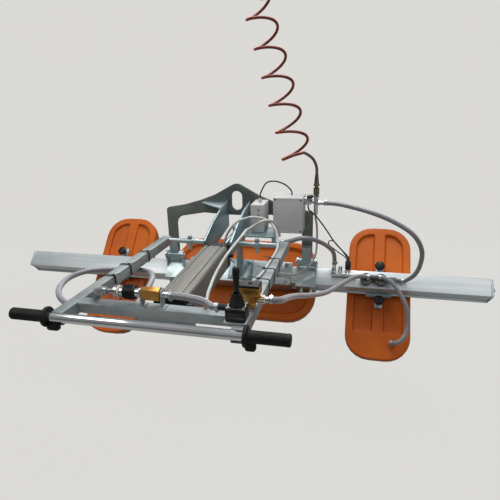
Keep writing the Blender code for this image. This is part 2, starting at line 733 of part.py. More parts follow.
def make_boxes():
    back = -BAIL_THICKNESS / 2 - CLEARANCE
    width, depth, height = SWITCH_BOX
    x, floor = SWITCH_BOX_X, BOX_FLOOR
    switch_box = box(
        "switch_box", (x - width / 2, back - depth, floor), (x + width / 2, back, floor + height), BOX_GREY, bevel=0.003
    )
    gland_at = (x + 0.003, back - depth / 2, floor + height)
    gland = hexagon("switch_box_gland", (*gland_at[:2], gland_at[2] - 0.004), (*gland_at[:2], gland_at[2] + 0.012), 0.014)
    nose = cylinder("switch_box_nose", (*gland_at[:2], gland_at[2] + 0.010), (*gland_at[:2], gland_at[2] + 0.018), 0.0055, sides=12)
    holes = [
        cylinder(
            "switch_box_hole_%d" % i, (x + 0.006, back - depth - 0.01, z), (x + 0.006, back - depth + 0.004, z), 0.0035, sides=12
        )
        for i, z in enumerate((floor + height - 0.024, floor + height - 0.046))
    ]
    join(switch_box, gland, nose)
    cut(switch_box, *holes)

    width, depth, height = ENCLOSURE
    x = ENCLOSURE_X
    front = back - depth
    box("enclosure_box", (x - width / 2, front, floor), (x + width / 2, back, floor + height), BOX_GREY, bevel=0.004)
    lid = box(
        "enclosure_lid",
        (x - width / 2, front - CLEARANCE - LID_DEPTH, floor),
        (x + width / 2, front - CLEARANCE, floor + height),
        BOX_GREY,
        bevel=0.004,
    )
    for i, (sx, sz) in enumerate(((-1, -1), (1, -1), (-1, 1), (1, 1))):
        at_x = x + sx * (width / 2 - 0.009)
        at_z = floor + height / 2 + sz * (height / 2 - 0.009)
        seat = front - CLEARANCE - LID_DEPTH
        cut(lid, cylinder("lid_screw_%d" % i, (at_x, seat - 0.01, at_z), (at_x, seat + 0.003, at_z), 0.004, sides=12))
    top = floor + height
    exit_y = back - depth / 2
    route = [
        (gland_at[0], gland_at[1], gland_at[2] + 0.018 + CLEARANCE),
        (gland_at[0], gland_at[1], gland_at[2] + 0.034),
        (0.144, -0.058, 0.089),
        (0.179, -0.054, 0.099),
        (0.220, -0.052, 0.088),
        (0.246, exit_y, 0.068),
        (0.256, exit_y, top + 0.010),
        (0.256, exit_y, top + CLEARANCE),
    ]
    hose("link_cable", route, CABLE_RADIUS, BLACK, step=0.018, resolution=1)


def make_inlet():
    """The tee on the enclosure's side, and the coupling that the supply hose plugs on."""
    side = ENCLOSURE_X + ENCLOSURE[0] / 2 + CLEARANCE
    x, y = INLET_X, -INLET_Y
    tee = cylinder("inlet_tee", (x, y, -0.030), (x, y, 0.043), INLET_RADIUS, CHROME)
    block = box("inlet_block", (side, y - 0.017, 0.006), (side + 0.030, y + 0.017, 0.034), bevel=0.002)
    nipple = hexagon("inlet_nipple", (side + 0.028, y, 0.017), (x, y, 0.017), 0.015)
    elbow = hexagon("inlet_elbow", (x, y, 0.012), (x + 0.018, y, 0.012), 0.018)
    barb = cylinder("inlet_barb", (x + 0.014, y, 0.012), (x + 0.032, y, 0.012), 0.0085)
    lower = hexagon("inlet_lower", (x, y, -0.040), (x, y, -0.026), 0.014)
    stop = cylinder("inlet_stop", (x, y, 0.036), (x, y, 0.043), 0.0125, sides=20)
    join(tee, block, nipple, elbow, barb, lower, stop)
    base = 0.043 + CLEARANCE
    grown = 0.0065
    bore = grown + CLEARANCE
    socket = [
        (0, 0.131),
        (AIR_HOSE_RADIUS, 0.131),
        (0.0095, 0.095),
        (0.0105, base + 0.047),
        (COUPLING_RADIUS, base + 0.045),
        (COUPLING_RADIUS, base + 0.040),
        (grown, base + 0.040),
        (grown, base),
        (0, base),
    ]
    turned("hose_socket", socket, (x, y, 0), (0, 0, 1), BRASS, sides=16)
    sleeve = [
        (bore, base + 0.0340),
        (COUPLING_RADIUS - 0.0015, base + 0.0340),
        (COUPLING_RADIUS, base + 0.0320),
        (COUPLING_RADIUS, base + 0.0050),
        (COUPLING_RADIUS - 0.0015, base + 0.0030),
        (bore, base + 0.0030),
        (bore, base + 0.0340),
    ]
    turned("coupling_sleeve", sleeve, (x, y, 0), (0, 0, 1), CHROME, sides=16)


COIL_FOOT = Vector((0.2763, -0.060, 0.2029))
COIL_RUN = Vector((-0.2137, 0, 0.6674))
COIL_LEAN_LOW = 0.352
COIL_LEAN_HIGH = 0.090
COIL_END = 0.96
COIL_TURN_RADIUS = 0.0596
TAIL_ANGLES = (-48, -66, -84, -100)
FITTING_RADIUS = 0.016
FITTING_LENGTH = 0.034
AIR_HOSE_TAIL = [
    (INLET_X, -INLET_Y, 0.131 + CLEARANCE),
    (INLET_X, -INLET_Y, 0.142),
    (0.3575, -0.0625, 0.160),
    (0.352, -0.071, 0.180),
    (0.340, -0.084, 0.201),
]


def coil_centre(share):
    """A point on the spiral's middle line, which leans to the rear, most of all at its foot."""
    lean = COIL_LEAN_LOW * share + (COIL_LEAN_HIGH - COIL_LEAN_LOW) * share**2 / 2
    return COIL_FOOT + COIL_RUN * share + Vector((0, COIL_RUN.z * lean, 0))


def make_air_hose():
    """The spiral hose: its tail from the coupling, the coil's outer shape and the fitting it hangs from."""
    parts = 6
    middle = [coil_centre(COIL_END * i / parts) for i in range(parts + 1)]
    hose("air_hose_coil", middle, COIL_RADIUS, HOSE_ORANGE, step=0.11, resolution=3)
    axis = (middle[1] - middle[0]).normalized()
    outward = Vector((axis.z, 0, -axis.x)).normalized()
    rear = axis.cross(outward)
    under = COIL_FOOT - axis * (AIR_HOSE_RADIUS + 2 * CLEARANCE)
    first_turn = [
        under + COIL_TURN_RADIUS * (math.cos(math.radians(angle)) * outward + math.sin(math.radians(angle)) * rear)
        for angle in TAIL_ANGLES
    ]
    hose("air_hose_tail", [*AIR_HOSE_TAIL, *first_turn], AIR_HOSE_RADIUS, HOSE_ORANGE, step=0.018)
    heading = (middle[-1] - middle[-2]).normalized()
    fitting_base = middle[-1] + heading * CLEARANCE
    cylinder("ceiling_fitting", fitting_base, fitting_base + heading * FITTING_LENGTH, FITTING_RADIUS, CHROME, sides=20)


cylinder_axis = empty("cylinder_axis", (CYLINDER_X, 0, LEVER_RADIUS - PIVOT_DROP + 0.001), (CYLINDER_SLOPE, 0, 0))


def make_cylinder():
    half = CYLINDER_SIZE / 2
    groove = 0.004
    section = rounded_rectangle(CYLINDER_SIZE, CYLINDER_SIZE, 0.012, 4)
    bore = arc((0, 0), CYLINDER_BORE / 2, 0, 360 - 360 / 40, 40)
    length = BARREL_FRONT - BARREL_REAR
    middle = -(BARREL_FRONT + BARREL_REAR) / 2
    barrel = slab("cylinder_barrel", [section, bore], length, (0, middle, 0), UPRIGHT, ALUMINIUM, cylinder_axis)
    for i, (dx, dz) in enumerate(((1, 1), (-1, 1), (1, -1), (-1, -1))):
        at = (dx * 0.026, -BARREL_FRONT - 0.01, dz * half)
        run = (dx * 0.026, -BARREL_REAR + 0.01, dz * half)
        cut(barrel, cylinder("barrel_groove_%d" % i, at, run, groove, parent=cylinder_axis, sides=12))

    rear_y = -BARREL_REAR + CLEARANCE
    outline = rounded_rectangle(CYLINDER_SIZE + 0.002, CYLINDER_SIZE + 0.002, 0.012, 4)
    rod_hole = arc((0, 0), ROD_RADIUS + CLEARANCE, 0, 345, 24)
    cap = slab("cylinder_rear_cap", [outline, rod_hole], CAP_LENGTH, (0, rear_y + CAP_LENGTH / 2, 0), UPRIGHT, BLACK, cylinder_axis)
    port = cylinder(
        "rear_cap_port", (half - 0.004, rear_y + 0.012, 0.006), (half + 0.018, rear_y + 0.012, 0.006), 0.008, parent=cylinder_axis, sides=16
    )
    join(cap, port)

    front_y = -BARREL_FRONT - CLEARANCE
    front = slab(
        "cylinder_front_cap", [outline], FRONT_CAP_LENGTH, (0, front_y - FRONT_CAP_LENGTH / 2, 0), UPRIGHT, BLACK, cylinder_axis
    )
    front_port = cylinder(
        "front_cap_port", (half - 0.004, front_y - 0.016, 0.020), (half + 0.018, front_y - 0.016, 0.020), 0.008, parent=cylinder_axis, sides=16
    )
    join(front, front_port)


def make_cylinder_bracket():
    """The plate under the front crossbar, with the web that the cylinder's front cap is screwed to."""
    under = FRAME_TOP - FRONT_BAR_HEIGHT - CLEARANCE
    face_y = -BARREL_FRONT - FRONT_CAP_LENGTH - 2 * CLEARANCE
    low_x, high_x = CYLINDER_X - 0.058, CYLINDER_X + 0.078
    plate = box("cylinder_bracket", (low_x, -FRONT_BAR_FACE, under - 0.008), (high_x, face_y - 0.004, under), ZINC)
    web_low = (low_x - CYLINDER_X, face_y - 0.010, -0.032)
    web_high = (high_x - CYLINDER_X, face_y, 0.019)
    join(plate, box("bracket_web", web_low, web_high, parent=cylinder_axis))
    for i, x in enumerate((low_x + 0.014, low_x + 0.048, high_x - 0.048, high_x - 0.014)):
        join(plate, bolt_head("bracket_bolt_%d" % i, (x, -FRONT_BAR_FACE + 0.020, under - 0.008), (0, 0, -1)))
    port_y, port_z = -0.836, -0.175
    join(plate, cylinder("bracket_port", (low_x + 0.012, port_y, port_z), (low_x - 0.018, port_y, port_z), 0.0085))


def make_rod():
    """The piston rod, and the slotted yoke that its end works the lever with."""
    pin_y = LEVER_RADIUS * math.sin(math.pi / 4 - TILT)
    slot_half = LEVER_PIN_RADIUS + YOKE_CLEARANCE
    drop = LEVER_RADIUS * (1 - math.cos(math.pi / 4)) + 0.006
    half = slot_half + YOKE_WALL
    rise = slot_half + YOKE_WALL
    slot = [
        (slot_half, -drop),
        *arc((0, 0.001), slot_half, 0, 180, 7),
        (-slot_half, -drop),
        *arc((0, -drop), slot_half, 202.5, 337.5, 5),
    ]
    outer = [
        (half, -drop - slot_half),
        (half, rise - 0.008),
        (half - 0.008, rise),
        (0.008 - half, rise),
        (-half, rise - 0.008),
        (-half, -drop - slot_half),
        (-half + 0.010, -drop - half),
        (half - 0.010, -drop - half),
    ]
    inner = LEVER_THICKNESS / 2 + 0.0015
    at = Vector((0, pin_y, 0))
    root = pin_y - half
    yoke = box(
        "rod_yoke", (-inner - YOKE_PLATE, root - 0.022, -0.020), (inner + YOKE_PLATE, root + 0.001, 0.020), ZINC, cylinder_axis
    )
    for sign in (-1, 1):
        centre = at + Vector((sign * (inner + YOKE_PLATE / 2), 0, 0))
        join(yoke, slab("yoke_plate_%d" % sign, [outer, slot], YOKE_PLATE, centre, ACROSS, None, cylinder_axis))
    rod_end = root - 0.022 - CLEARANCE
    rod = cylinder("cylinder_rod", (0, -PISTON_Y, 0), (0, rod_end, 0), ROD_RADIUS, CHROME, cylinder_axis)
    piston = cylinder(
        "rod_piston",
        (0, -PISTON_Y - PISTON_LENGTH, 0),
        (0, -PISTON_Y + 0.001, 0),
        CYLINDER_BORE / 2 - 0.0008,
        parent=cylinder_axis,
        sides=40,
    )
    join(rod, piston)


def make_beam():
    inner = rectangle(
        -BEAM_WIDTH / 2 + BEAM_WALL, -BEAM_DEPTH + BEAM_WALL, BEAM_WIDTH / 2 - BEAM_WALL, -BEAM_WALL
    )
    slab("beam_tube", [beam_section(0), inner], BEAM_LENGTH, on_beam(BEAM_SHIFT, 0, 0), ACROSS, ALUMINIUM, tilt_axis)
    for side, sign in (("left", -1), ("right", 1)):
        seat = BEAM_LENGTH / 2 + CLEARANCE
        xs = sorted((BEAM_SHIFT + sign * seat, BEAM_SHIFT + sign * (seat + END_CAP_THICKNESS)))
        cap = beam_box(
            "end_cap_" + side, (xs[0], -BEAM_WIDTH / 2, -BEAM_DEPTH), (xs[1], BEAM_WIDTH / 2, 0), BLACK, bevel=0.002
        )
        start = on_beam(BEAM_SHIFT + sign * (seat + END_CAP_THICKNESS - 0.002), 0, -BEAM_DEPTH / 2)
        end = on_beam(BEAM_SHIFT + sign * (seat + END_CAP_THICKNESS + END_KNOB_LENGTH), 0, -BEAM_DEPTH / 2)
        join(cap, cylinder("end_knob_" + side, start, end, END_KNOB_RADIUS, parent=tilt_axis))

    half = SLEEVE_WIDTH / 2
    outer = rectangle(-half, -SLEEVE_BELOW, half, SLEEVE_ABOVE)
    slab("centre_sleeve", [outer, beam_section(CLEARANCE)], SLEEVE_LENGTH, on_beam(0, 0, 0), ACROSS, ZINC, tilt_axis)


def make_pivot_clamps():
    half = LIP_WIDTH / 2 + CLAMP_WALL
    top, bottom = CLAMP_WALL, -BEAM_DEPTH - CLAMP_WALL
    band = rectangle(-half, bottom, half, top)
    cheek = [
        (-0.004, top - 0.002),
        (half, top - 0.002),
        *arc((PIVOT_AHEAD, PIVOT_ABOVE), CHEEK_RADIUS, -10, 190, 11),
    ]
    for side, x in (("left", -CLAMP_CENTRE), ("right", CLAMP_CENTRE)):
        clamp = slab("pivot_clamp_" + side, [band, beam_section(CLEARANCE)], CLAMP_LENGTH, on_beam(x, 0, 0), ACROSS, ZINC, tilt_axis)
        shift = CLAMP_LENGTH / 2 - CLAMP_WALL / 2
        for sign in (-1, 1):
            plate = slab(
                "cheek_%s_%d" % (side, sign), [cheek], CLAMP_WALL, on_beam(x + sign * shift, 0, 0), ACROSS, None, tilt_axis
            )
            join(clamp, plate)
        reach = Vector((CLAMP_LENGTH / 2 + 0.005, 0, 0))
        pin = on_beam(x, PIVOT_AHEAD, PIVOT_ABOVE)
        join(clamp, cylinder("pivot_pin_" + side, pin - reach, pin + reach, PIVOT_PIN_RADIUS, parent=tilt_axis))
        for sign in (-1, 1):
            seat = on_beam(x + sign * 0.022, -half, -0.030)
            stud = hexagon("clamp_stud_%s_%d" % (side, sign), seat + Vector((0, 0.003, 0)), seat - Vector((0, 0.018, 0)), 0.014, parent=tilt_axis)
            join(clamp, stud)


def make_tilt_lever():
    reach = LEVER_RADIUS * math.sin(math.pi / 4)
    pin = Vector((PIVOT_AHEAD + reach, PIVOT_ABOVE + reach))
    seat = SLEEVE_ABOVE + CLEARANCE
    plate = [
        (-0.030, seat),
        (0.053, seat),
        (0.053, seat + 0.012),
        *[(pin.x + x, pin.y + y) for x, y in arc((0, 0), 0.0155, -50, 140, 8)],
        (-0.030, seat + 0.022),
    ]
    lever = slab("tilt_lever", [plate], LEVER_THICKNESS, on_beam(CYLINDER_X, 0, 0), ACROSS, STEEL_GREY, tilt_axis)
    base = beam_box("lever_base", (CYLINDER_X - 0.055, -0.045, seat), (CYLINDER_X + 0.055, 0.053, seat + 0.009))
    half = LEVER_THICKNESS / 2 + 0.0015 + YOKE_PLATE + 0.004
    centre = on_beam(CYLINDER_X, pin.x, pin.y)
    bolt = cylinder(
        "lever_pin", centre - Vector((half, 0, 0)), centre + Vector((half, 0, 0)), LEVER_PIN_RADIUS, parent=tilt_axis
    )
    screws = [
        bolt_head("lever_screw_%d" % i, on_beam(CYLINDER_X + x, y, seat + 0.009), (0, 0, 1), tilt_axis)
        for i, (x, y) in enumerate(((-0.040, -0.030), (0.040, -0.030), (-0.040, 0.038), (0.040, 0.038)))
    ]
    join(lever, base, bolt, *screws)


def pocket_outline(width, length, corner, both_ends):
    """The pocket on one side of the pad's rib, round at the pad's corners. A side pad's one stops short of its foot."""
    inside, outside, end = PAD_RIB / 2, width / 2 - PAD_RIM, length / 2 - PAD_RIM
    radius = corner - PAD_RIM
    head = arc((outside - radius, end - radius), radius, 0, 90, 6)
    foot = [(x, -y) for x, y in reversed(head)] if both_ends else [(outside, PAD_FOOT - length / 2)]
    return [(inside, foot[0][1]), *foot, *head, (inside, end)]


def pad_with_seal(name, top_centre, length, width, corner, parent, sideways=False):
    """A pad with two pockets in its back and a seal ring under it, given the middle of its top face."""

    def size(across, along):
        return (along, across) if sideways else (across, along)

    down = Vector((0, 0, -1))
    middle = top_centre + down * PAD_THICKNESS / 2
    outline = rounded_rectangle(*size(width, length), corner)
    pad = slab(name + "_pad", [outline], PAD_THICKNESS, middle, FLAT, ORANGE, parent)
    for sign in (-1, 1):
        pocket = [(sign * x, y) for x, y in pocket_outline(width, length, corner, sideways)]
        if sideways:
            pocket = [(y, x) for x, y in pocket]
        cut(pad, slab("%s_pocket_%d" % (name, sign), [pocket], 2 * PAD_POCKET, top_centre, FLAT, None, parent))
    inset = SEAL_INSET
    outer = rounded_rectangle(*size(width - 2 * inset, length - 2 * inset), corner - inset)
    inset += SEAL_WIDTH
    inner = rounded_rectangle(*size(width - 2 * inset, length - 2 * inset), corner - inset)
    seal_middle = top_centre + down * (PAD_THICKNESS + CLEARANCE + SEAL_HEIGHT / 2)
    slab(name + "_seal", [outer, inner], SEAL_HEIGHT, seal_middle, FLAT, SEAL_GREY, parent)
    return pad


def make_holder(side, carriage, under):
    """The plate that the pad hangs on, hooked over the beam's lips, with a stud for each hand knob."""
    half = HOLDER_LENGTH / 2
    bottom = under - HOLDER_THICKNESS
    lip = LIP_WIDTH / 2 + CLEARANCE
    reach = lip + JAW_THICKNESS + 0.002
    holder = box(side + "_holder", (-half, -reach, bottom), (half, reach, under), STEEL_GREY, carriage, bevel=0.0015)
    lug_low = (-HOLDER_LUG / 2, -HOLDER_WIDTH / 2, bottom + HOLDER_LUG_INSET)
    lug_high = (HOLDER_LUG / 2, HOLDER_WIDTH / 2, under - HOLDER_LUG_INSET)
    join(holder, box(side + "_holder_lugs", lug_low, lug_high, parent=carriage))
    half -= 0.002
    lip_top = LIP_THICKNESS - BEAM_DEPTH + CLEARANCE
    boss_top = under + BOSS_HEIGHT
    for sign in (-1, 1):
        outside = sign * (lip + JAW_THICKNESS)
        wall = sorted((sign * lip, outside))
        hook = sorted((sign * (BEAM_WIDTH / 2 + CLEARANCE), outside))
        jaw_low, jaw_high = (-half, wall[0], under - 0.003), (half, wall[1], lip_top + 0.001)
        hook_low, hook_high = (-half, hook[0], lip_top), (half, hook[1], lip_top + JAW_THICKNESS)
        join(holder, box("%s_jaw_%d" % (side, sign), jaw_low, jaw_high, parent=carriage))
        join(holder, box("%s_hook_%d" % (side, sign), hook_low, hook_high, parent=carriage))
        at = sign * KNOB_SPACING / 2
        boss = cylinder("%s_boss_%d" % (side, sign), (0, at, under - 0.003), (0, at, boss_top), BOSS_RADIUS, parent=carriage)
        stud_low, stud_high = (0, at, boss_top - 0.002), (0, at, boss_top + 0.014)
        stud = cylinder("%s_stud_%d" % (side, sign), stud_low, stud_high, STUD_RADIUS, parent=carriage)
        join(holder, boss, stud)


def make_knob(side, place, at, carriage):
    axis = empty("%s_knob_axis_%s" % (side, place), at, parent=carriage)
    bore = STUD_RADIUS + CLEARANCE
    profile = [
        (0, KNOB_HEIGHT),
        (KNOB_RADIUS - 0.005, KNOB_HEIGHT),
        (KNOB_RADIUS, KNOB_HEIGHT - 0.005),
        (KNOB_RADIUS, KNOB_HEIGHT - 0.013),
        (0.012, 0.008),
        (0.012, 0),
        (bore, 0),
        (bore, 0.016),
        (0, 0.016),
    ]
    turned("%s_knob_%s" % (side, place), profile, (0, 0, 0), (0, 0, 1), BLACK, axis)


def make_side_pad(side, x):
    """A pad on its holder, which slides along the beam's lips and is held by two hand knobs."""
    carriage = empty("%s_carriage" % side, on_beam(x, 0, 0), parent=tilt_axis)
    under = -BEAM_DEPTH - CLEARANCE
    make_holder(side, carriage, under)
    knob_base = under + BOSS_HEIGHT + CLEARANCE
    for place, sign in (("upper", 1), ("lower", -1)):
        make_knob(side, place, (0, sign * KNOB_SPACING / 2, knob_base), carriage)
    top = under - HOLDER_THICKNESS - CLEARANCE
    pad = pad_with_seal(side, Vector((0, PAD_SHIFT, top)), PAD_LENGTH, PAD_WIDTH, PAD_CORNER, carriage)
    port_x = PORT_OUT if side == "right" else -PORT_OUT
    low, high = (port_x, PORT_AHEAD, top - PAD_POCKET - 0.003), (port_x, PORT_AHEAD, top + 0.004)
    join(pad, cylinder(side + "_port", low, high, 0.011, parent=carriage))


def make_centre_pad():
    top_centre = on_beam(0, 0, -SLEEVE_BELOW - CLEARANCE)
    pad_with_seal("centre", top_centre, CENTRE_PAD_LENGTH, CENTRE_PAD_WIDTH, CENTRE_PAD_CORNER, tilt_axis, sideways=True)


MANIFOLD_X = (0.432, 0.540)
MANIFOLD_AHEAD = (0.001, 0.017)
MANIFOLD_HEIGHT = 0.016
ELBOW_X = 0.442
PLUG_X = 0.470
SENSOR_X = 0.503
SENSOR_SIZE = (0.025, 0.028)
SENSOR_AHEAD = (0.040, 0.072)
GAUGES_X = (0.584, 0.648)
GAUGE_AHEAD = -0.006
GAUGE_RADIUS = 0.0255
GAUGE_TOP = 0.028
CLIP_ABOVE = 0.042


def beam_bar(name, start, end, radius, sides=16):
    """A round bar between two points given from the middle of the beam's top face."""
    return cylinder(name, on_beam(*start), on_beam(*end), radius, parent=tilt_axis, sides=sides)


def make_beam_fittings():
    """The rail of fittings on the beam, the vacuum sensor in it, the two gauges and the supply hose's barb."""
    seat = CLEARANCE
    front, rear = MANIFOLD_AHEAD
    middle = seat + MANIFOLD_HEIGHT / 2
    low, high = (MANIFOLD_X[0], front, seat), (MANIFOLD_X[1], rear, seat + MANIFOLD_HEIGHT)
    block = beam_box("manifold", low, high, ALUMINIUM, bevel=0.002)
    nut_start, nut_end = on_beam(ELBOW_X, rear - 0.002, middle + 0.004), on_beam(ELBOW_X, 0.040, middle + 0.004)
    nut = hexagon("manifold_nut", nut_start, nut_end, 0.019, parent=tilt_axis)
    barb = beam_bar("manifold_barb", (ELBOW_X, 0.038, middle + 0.004), (ELBOW_X, 0.0547, middle + 0.004), BARB_RADIUS)
    plug = beam_bar("manifold_plug", (PLUG_X, rear - 0.002, middle + 0.002), (PLUG_X, 0.050, middle + 0.002), 0.0085)
    stem = beam_bar("manifold_stem", (SENSOR_X, rear - 0.002, middle), (SENSOR_X, SENSOR_AHEAD[0] - CLEARANCE, middle), BARB_RADIUS)
    join(block, nut, barb, plug, stem)

    half = SENSOR_SIZE[0] / 2
    low, high = (SENSOR_X - half, SENSOR_AHEAD[0], seat), (SENSOR_X + half, SENSOR_AHEAD[1], seat + SENSOR_SIZE[1])
    sensor = beam_box("vacuum_sensor", low, high, BLACK, bevel=0.003)
    nose_above = seat + 0.020
    nose_ends = ((SENSOR_X, SENSOR_AHEAD[1] - 0.002, nose_above), (SENSOR_X, SENSOR_AHEAD[1] + 0.010, nose_above))
    join(sensor, beam_bar("sensor_nose", *nose_ends, 0.0055, sides=12))

    gauges = beam_box("gauge_pair", (0.566, -0.012, seat), (0.666, 0.008, seat + 0.012), CHROME)
    for i, x in enumerate(GAUGES_X):
        ends = ((x, GAUGE_AHEAD, seat + 0.008), (x, GAUGE_AHEAD, GAUGE_TOP))
        join(gauges, beam_bar("gauge_%d" % i, *ends, GAUGE_RADIUS, sides=28))
    clip_x = sum(GAUGES_X) / 2
    post = beam_bar("gauge_post", (clip_x, 0, seat + 0.006), (clip_x, 0, CLIP_ABOVE), 0.006, sides=12)
    clip = beam_bar("gauge_clip", (clip_x - 0.016, 0, CLIP_ABOVE), (clip_x + 0.016, 0, CLIP_ABOVE), 0.0085)
    outlet = beam_box("supply_fitting", (0.660, -0.010, seat), (0.712, 0.010, seat + 0.020))
    supply_barb = beam_bar("supply_barb", (0.708, 0, 0.013), (0.728, 0, 0.013), BARB_RADIUS)
    join(gauges, post, clip, outlet, supply_barb)


HOSES = {
    "hose_left": (
        (-0.1453, -0.880, -0.078),
        (-0.163, -0.880, -0.078),
        (-0.188, -0.869, -0.087),
        (-0.201, -0.846, -0.106),
        (-0.211, -0.837, -0.138),
        (-0.224, -0.835, -0.164),
        (-0.2525, -0.832, -0.173),
        (-0.300, -0.828, -0.170),
        (-0.352, -0.808, -0.163),
        (-0.395, -0.771, -0.156),
        (-0.425, -0.715, -0.152),
        (-0.438, -0.636, -0.152),
        (-0.413, -0.560, -0.157),
        (-0.352, -0.512, -0.166),
        (-0.295, -0.489, -0.173),
        (-0.2525, -0.484, -0.173),
        (-0.205, -0.503, -0.172),
        (-0.168, -0.560, -0.168),
        (-0.142, -0.650, -0.168),
        (-0.126, -0.740, -0.170),
        (-0.116, -0.800, -0.172),
        (-0.103, -0.826, -0.175),
        (-0.084, -0.836, -0.175),
        (-0.0663, -0.836, -0.175),
    ),
    "hose_valves": (
        (0.0363, -0.880, -0.078),
        (0.054, -0.880, -0.078),
        (0.100, -0.886, -0.078),
        (0.140, -0.896, -0.079),
        (0.172, -0.914, -0.0842),
        (0.1897, -0.914, -0.0842),
    ),
    "hose_manifold": (
        (0.2246, -0.158, -0.138),
        (0.240, -0.158, -0.138),
        (0.270, -0.158, -0.130),
        (0.305, -0.154, -0.119),
        (0.342, -0.140, -0.122),
        (0.378, -0.108, -0.142),
        (0.412, -0.060, -0.176),
        (0.436, -0.002, -0.222),
        (0.4415, 0.029, -0.262),
        (0.442, 0.0379, -0.2787),
        (0.442, 0.0264, -0.2922),
    ),
    "hose_supply": (
        (0.3913, -0.060, 0.012),
        (0.410, -0.060, 0.012),
        (0.445, -0.068, 0.012),
        (0.499, -0.085, 0.006),
        (0.586, -0.098, -0.014),
        (0.672, -0.100, -0.047),
        (0.752, -0.098, -0.098),
        (0.792, -0.088, -0.165),
        (0.794, -0.070, -0.236),
        (0.778, -0.044, -0.292),
        (0.746, -0.0099, -0.3336),
        (0.7283, -0.0099, -0.3336),
    ),
    "hose_gauge": (
        (0.3068, -0.830, -0.0922),
        (0.318, -0.830, -0.0922),
        (0.334, -0.800, -0.103),
        (0.337, -0.750, -0.121),
        (0.340, -0.680, -0.147),
        (0.352, -0.580, -0.186),
        (0.380, -0.470, -0.230),
        (0.428, -0.330, -0.276),
        (0.478, -0.190, -0.297),
        (0.525, -0.085, -0.306),
        (0.556, -0.044, -0.312),
        (0.582, -0.0319, -0.3147),
        (0.5997, -0.0319, -0.3147),
    ),
    "hose_pad": (
        (0.6323, -0.0319, -0.3147),
        (0.650, -0.0319, -0.3147),
        (0.677, -0.037, -0.324),
        (0.702, -0.048, -0.341),
        (0.736, -0.068, -0.387),
        (0.760, -0.086, -0.440),
        (0.765, -0.105, -0.500),
        (0.750, -0.130, -0.545),
        (0.726, -0.139, -0.566),
        (0.707, -0.1264, -0.5797),
        (0.707, -0.1112, -0.5927),
    ),
}


def make_hoses():
    for name, route in HOSES.items():
        hose(name, route, HOSE_RADIUS, HOSE_GREY)
    cable = (
        (0.326, -0.060, 0.0057),
        (0.326, -0.060, -0.005),
        (0.332, -0.074, -0.016),
        (0.345, -0.082, -0.024),
        (0.369, -0.082, -0.048),
        (0.405, -0.068, -0.100),
        (0.440, -0.042, -0.160),
        (0.475, 0.002, -0.213),
        (0.497, 0.038, -0.248),
        (0.503, 0.0452, -0.2578),
        (0.503, 0.0380, -0.2662),
    )
    hose("sensor_cable", cable, CABLE_RADIUS, BLACK, step=0.024, resolution=1)


make_bail()
make_bail_feet()
make_hangers()
make_handle_frame()
make_handlebar()
make_lever_valve()
make_brass_block()
make_slide_valve()
make_boxes()
make_inlet()
make_air_hose()
make_cylinder()
make_cylinder_bracket()
make_rod()
make_beam()
make_pivot_clamps()
make_tilt_lever()
make_centre_pad()
make_side_pad("left", LEFT_PAD_X)
make_side_pad("right", RIGHT_PAD_X)
make_beam_fittings()
make_hoses()
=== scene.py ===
import json
import math

import bmesh
import bpy
from mathutils import Matrix, Vector
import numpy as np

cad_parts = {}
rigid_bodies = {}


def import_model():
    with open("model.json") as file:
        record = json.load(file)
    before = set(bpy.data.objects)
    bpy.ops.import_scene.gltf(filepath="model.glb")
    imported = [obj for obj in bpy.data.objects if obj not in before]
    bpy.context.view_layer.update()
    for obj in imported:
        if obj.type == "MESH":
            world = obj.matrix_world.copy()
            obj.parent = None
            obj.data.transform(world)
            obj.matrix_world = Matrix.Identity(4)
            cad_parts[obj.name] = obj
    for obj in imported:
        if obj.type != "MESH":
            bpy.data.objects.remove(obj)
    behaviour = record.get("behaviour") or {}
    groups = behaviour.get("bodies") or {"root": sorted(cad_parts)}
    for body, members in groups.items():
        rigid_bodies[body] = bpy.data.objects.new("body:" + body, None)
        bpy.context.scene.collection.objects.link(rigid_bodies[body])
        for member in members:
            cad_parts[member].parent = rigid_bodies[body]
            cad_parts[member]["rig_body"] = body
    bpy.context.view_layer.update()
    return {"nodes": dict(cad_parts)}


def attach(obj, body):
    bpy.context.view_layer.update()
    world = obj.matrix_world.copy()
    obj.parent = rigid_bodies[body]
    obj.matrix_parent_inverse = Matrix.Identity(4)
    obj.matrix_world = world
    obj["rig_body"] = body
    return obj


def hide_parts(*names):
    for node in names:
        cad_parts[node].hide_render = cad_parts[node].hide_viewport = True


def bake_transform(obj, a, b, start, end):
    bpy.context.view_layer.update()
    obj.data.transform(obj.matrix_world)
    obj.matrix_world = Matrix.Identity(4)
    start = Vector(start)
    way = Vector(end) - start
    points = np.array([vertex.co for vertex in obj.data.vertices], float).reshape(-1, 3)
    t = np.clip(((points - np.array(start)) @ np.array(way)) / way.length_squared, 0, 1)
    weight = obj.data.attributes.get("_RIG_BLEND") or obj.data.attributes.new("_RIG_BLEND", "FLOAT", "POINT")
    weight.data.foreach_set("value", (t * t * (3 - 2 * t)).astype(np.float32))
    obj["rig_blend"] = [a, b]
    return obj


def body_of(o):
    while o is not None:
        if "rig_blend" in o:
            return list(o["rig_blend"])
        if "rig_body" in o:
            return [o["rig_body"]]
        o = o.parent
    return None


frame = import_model()
scene = bpy.context.scene
print("frame loaded:", len(frame["nodes"]), "nodes")

# camera
cameraSet = {
    "place": (0.5133654, -1.89956151, 0.4072162),
    "azimuth": 13.5722,
    "elevation": 18.1457,
    "roll": -1.177,
    "sensor": 36.0,
    "lens": 31.798,
    "reach": 60,
}


def placed(name, data):  # a new object in the scene
    made = bpy.data.objects.new(name, data)
    scene.collection.objects.link(made)
    return made


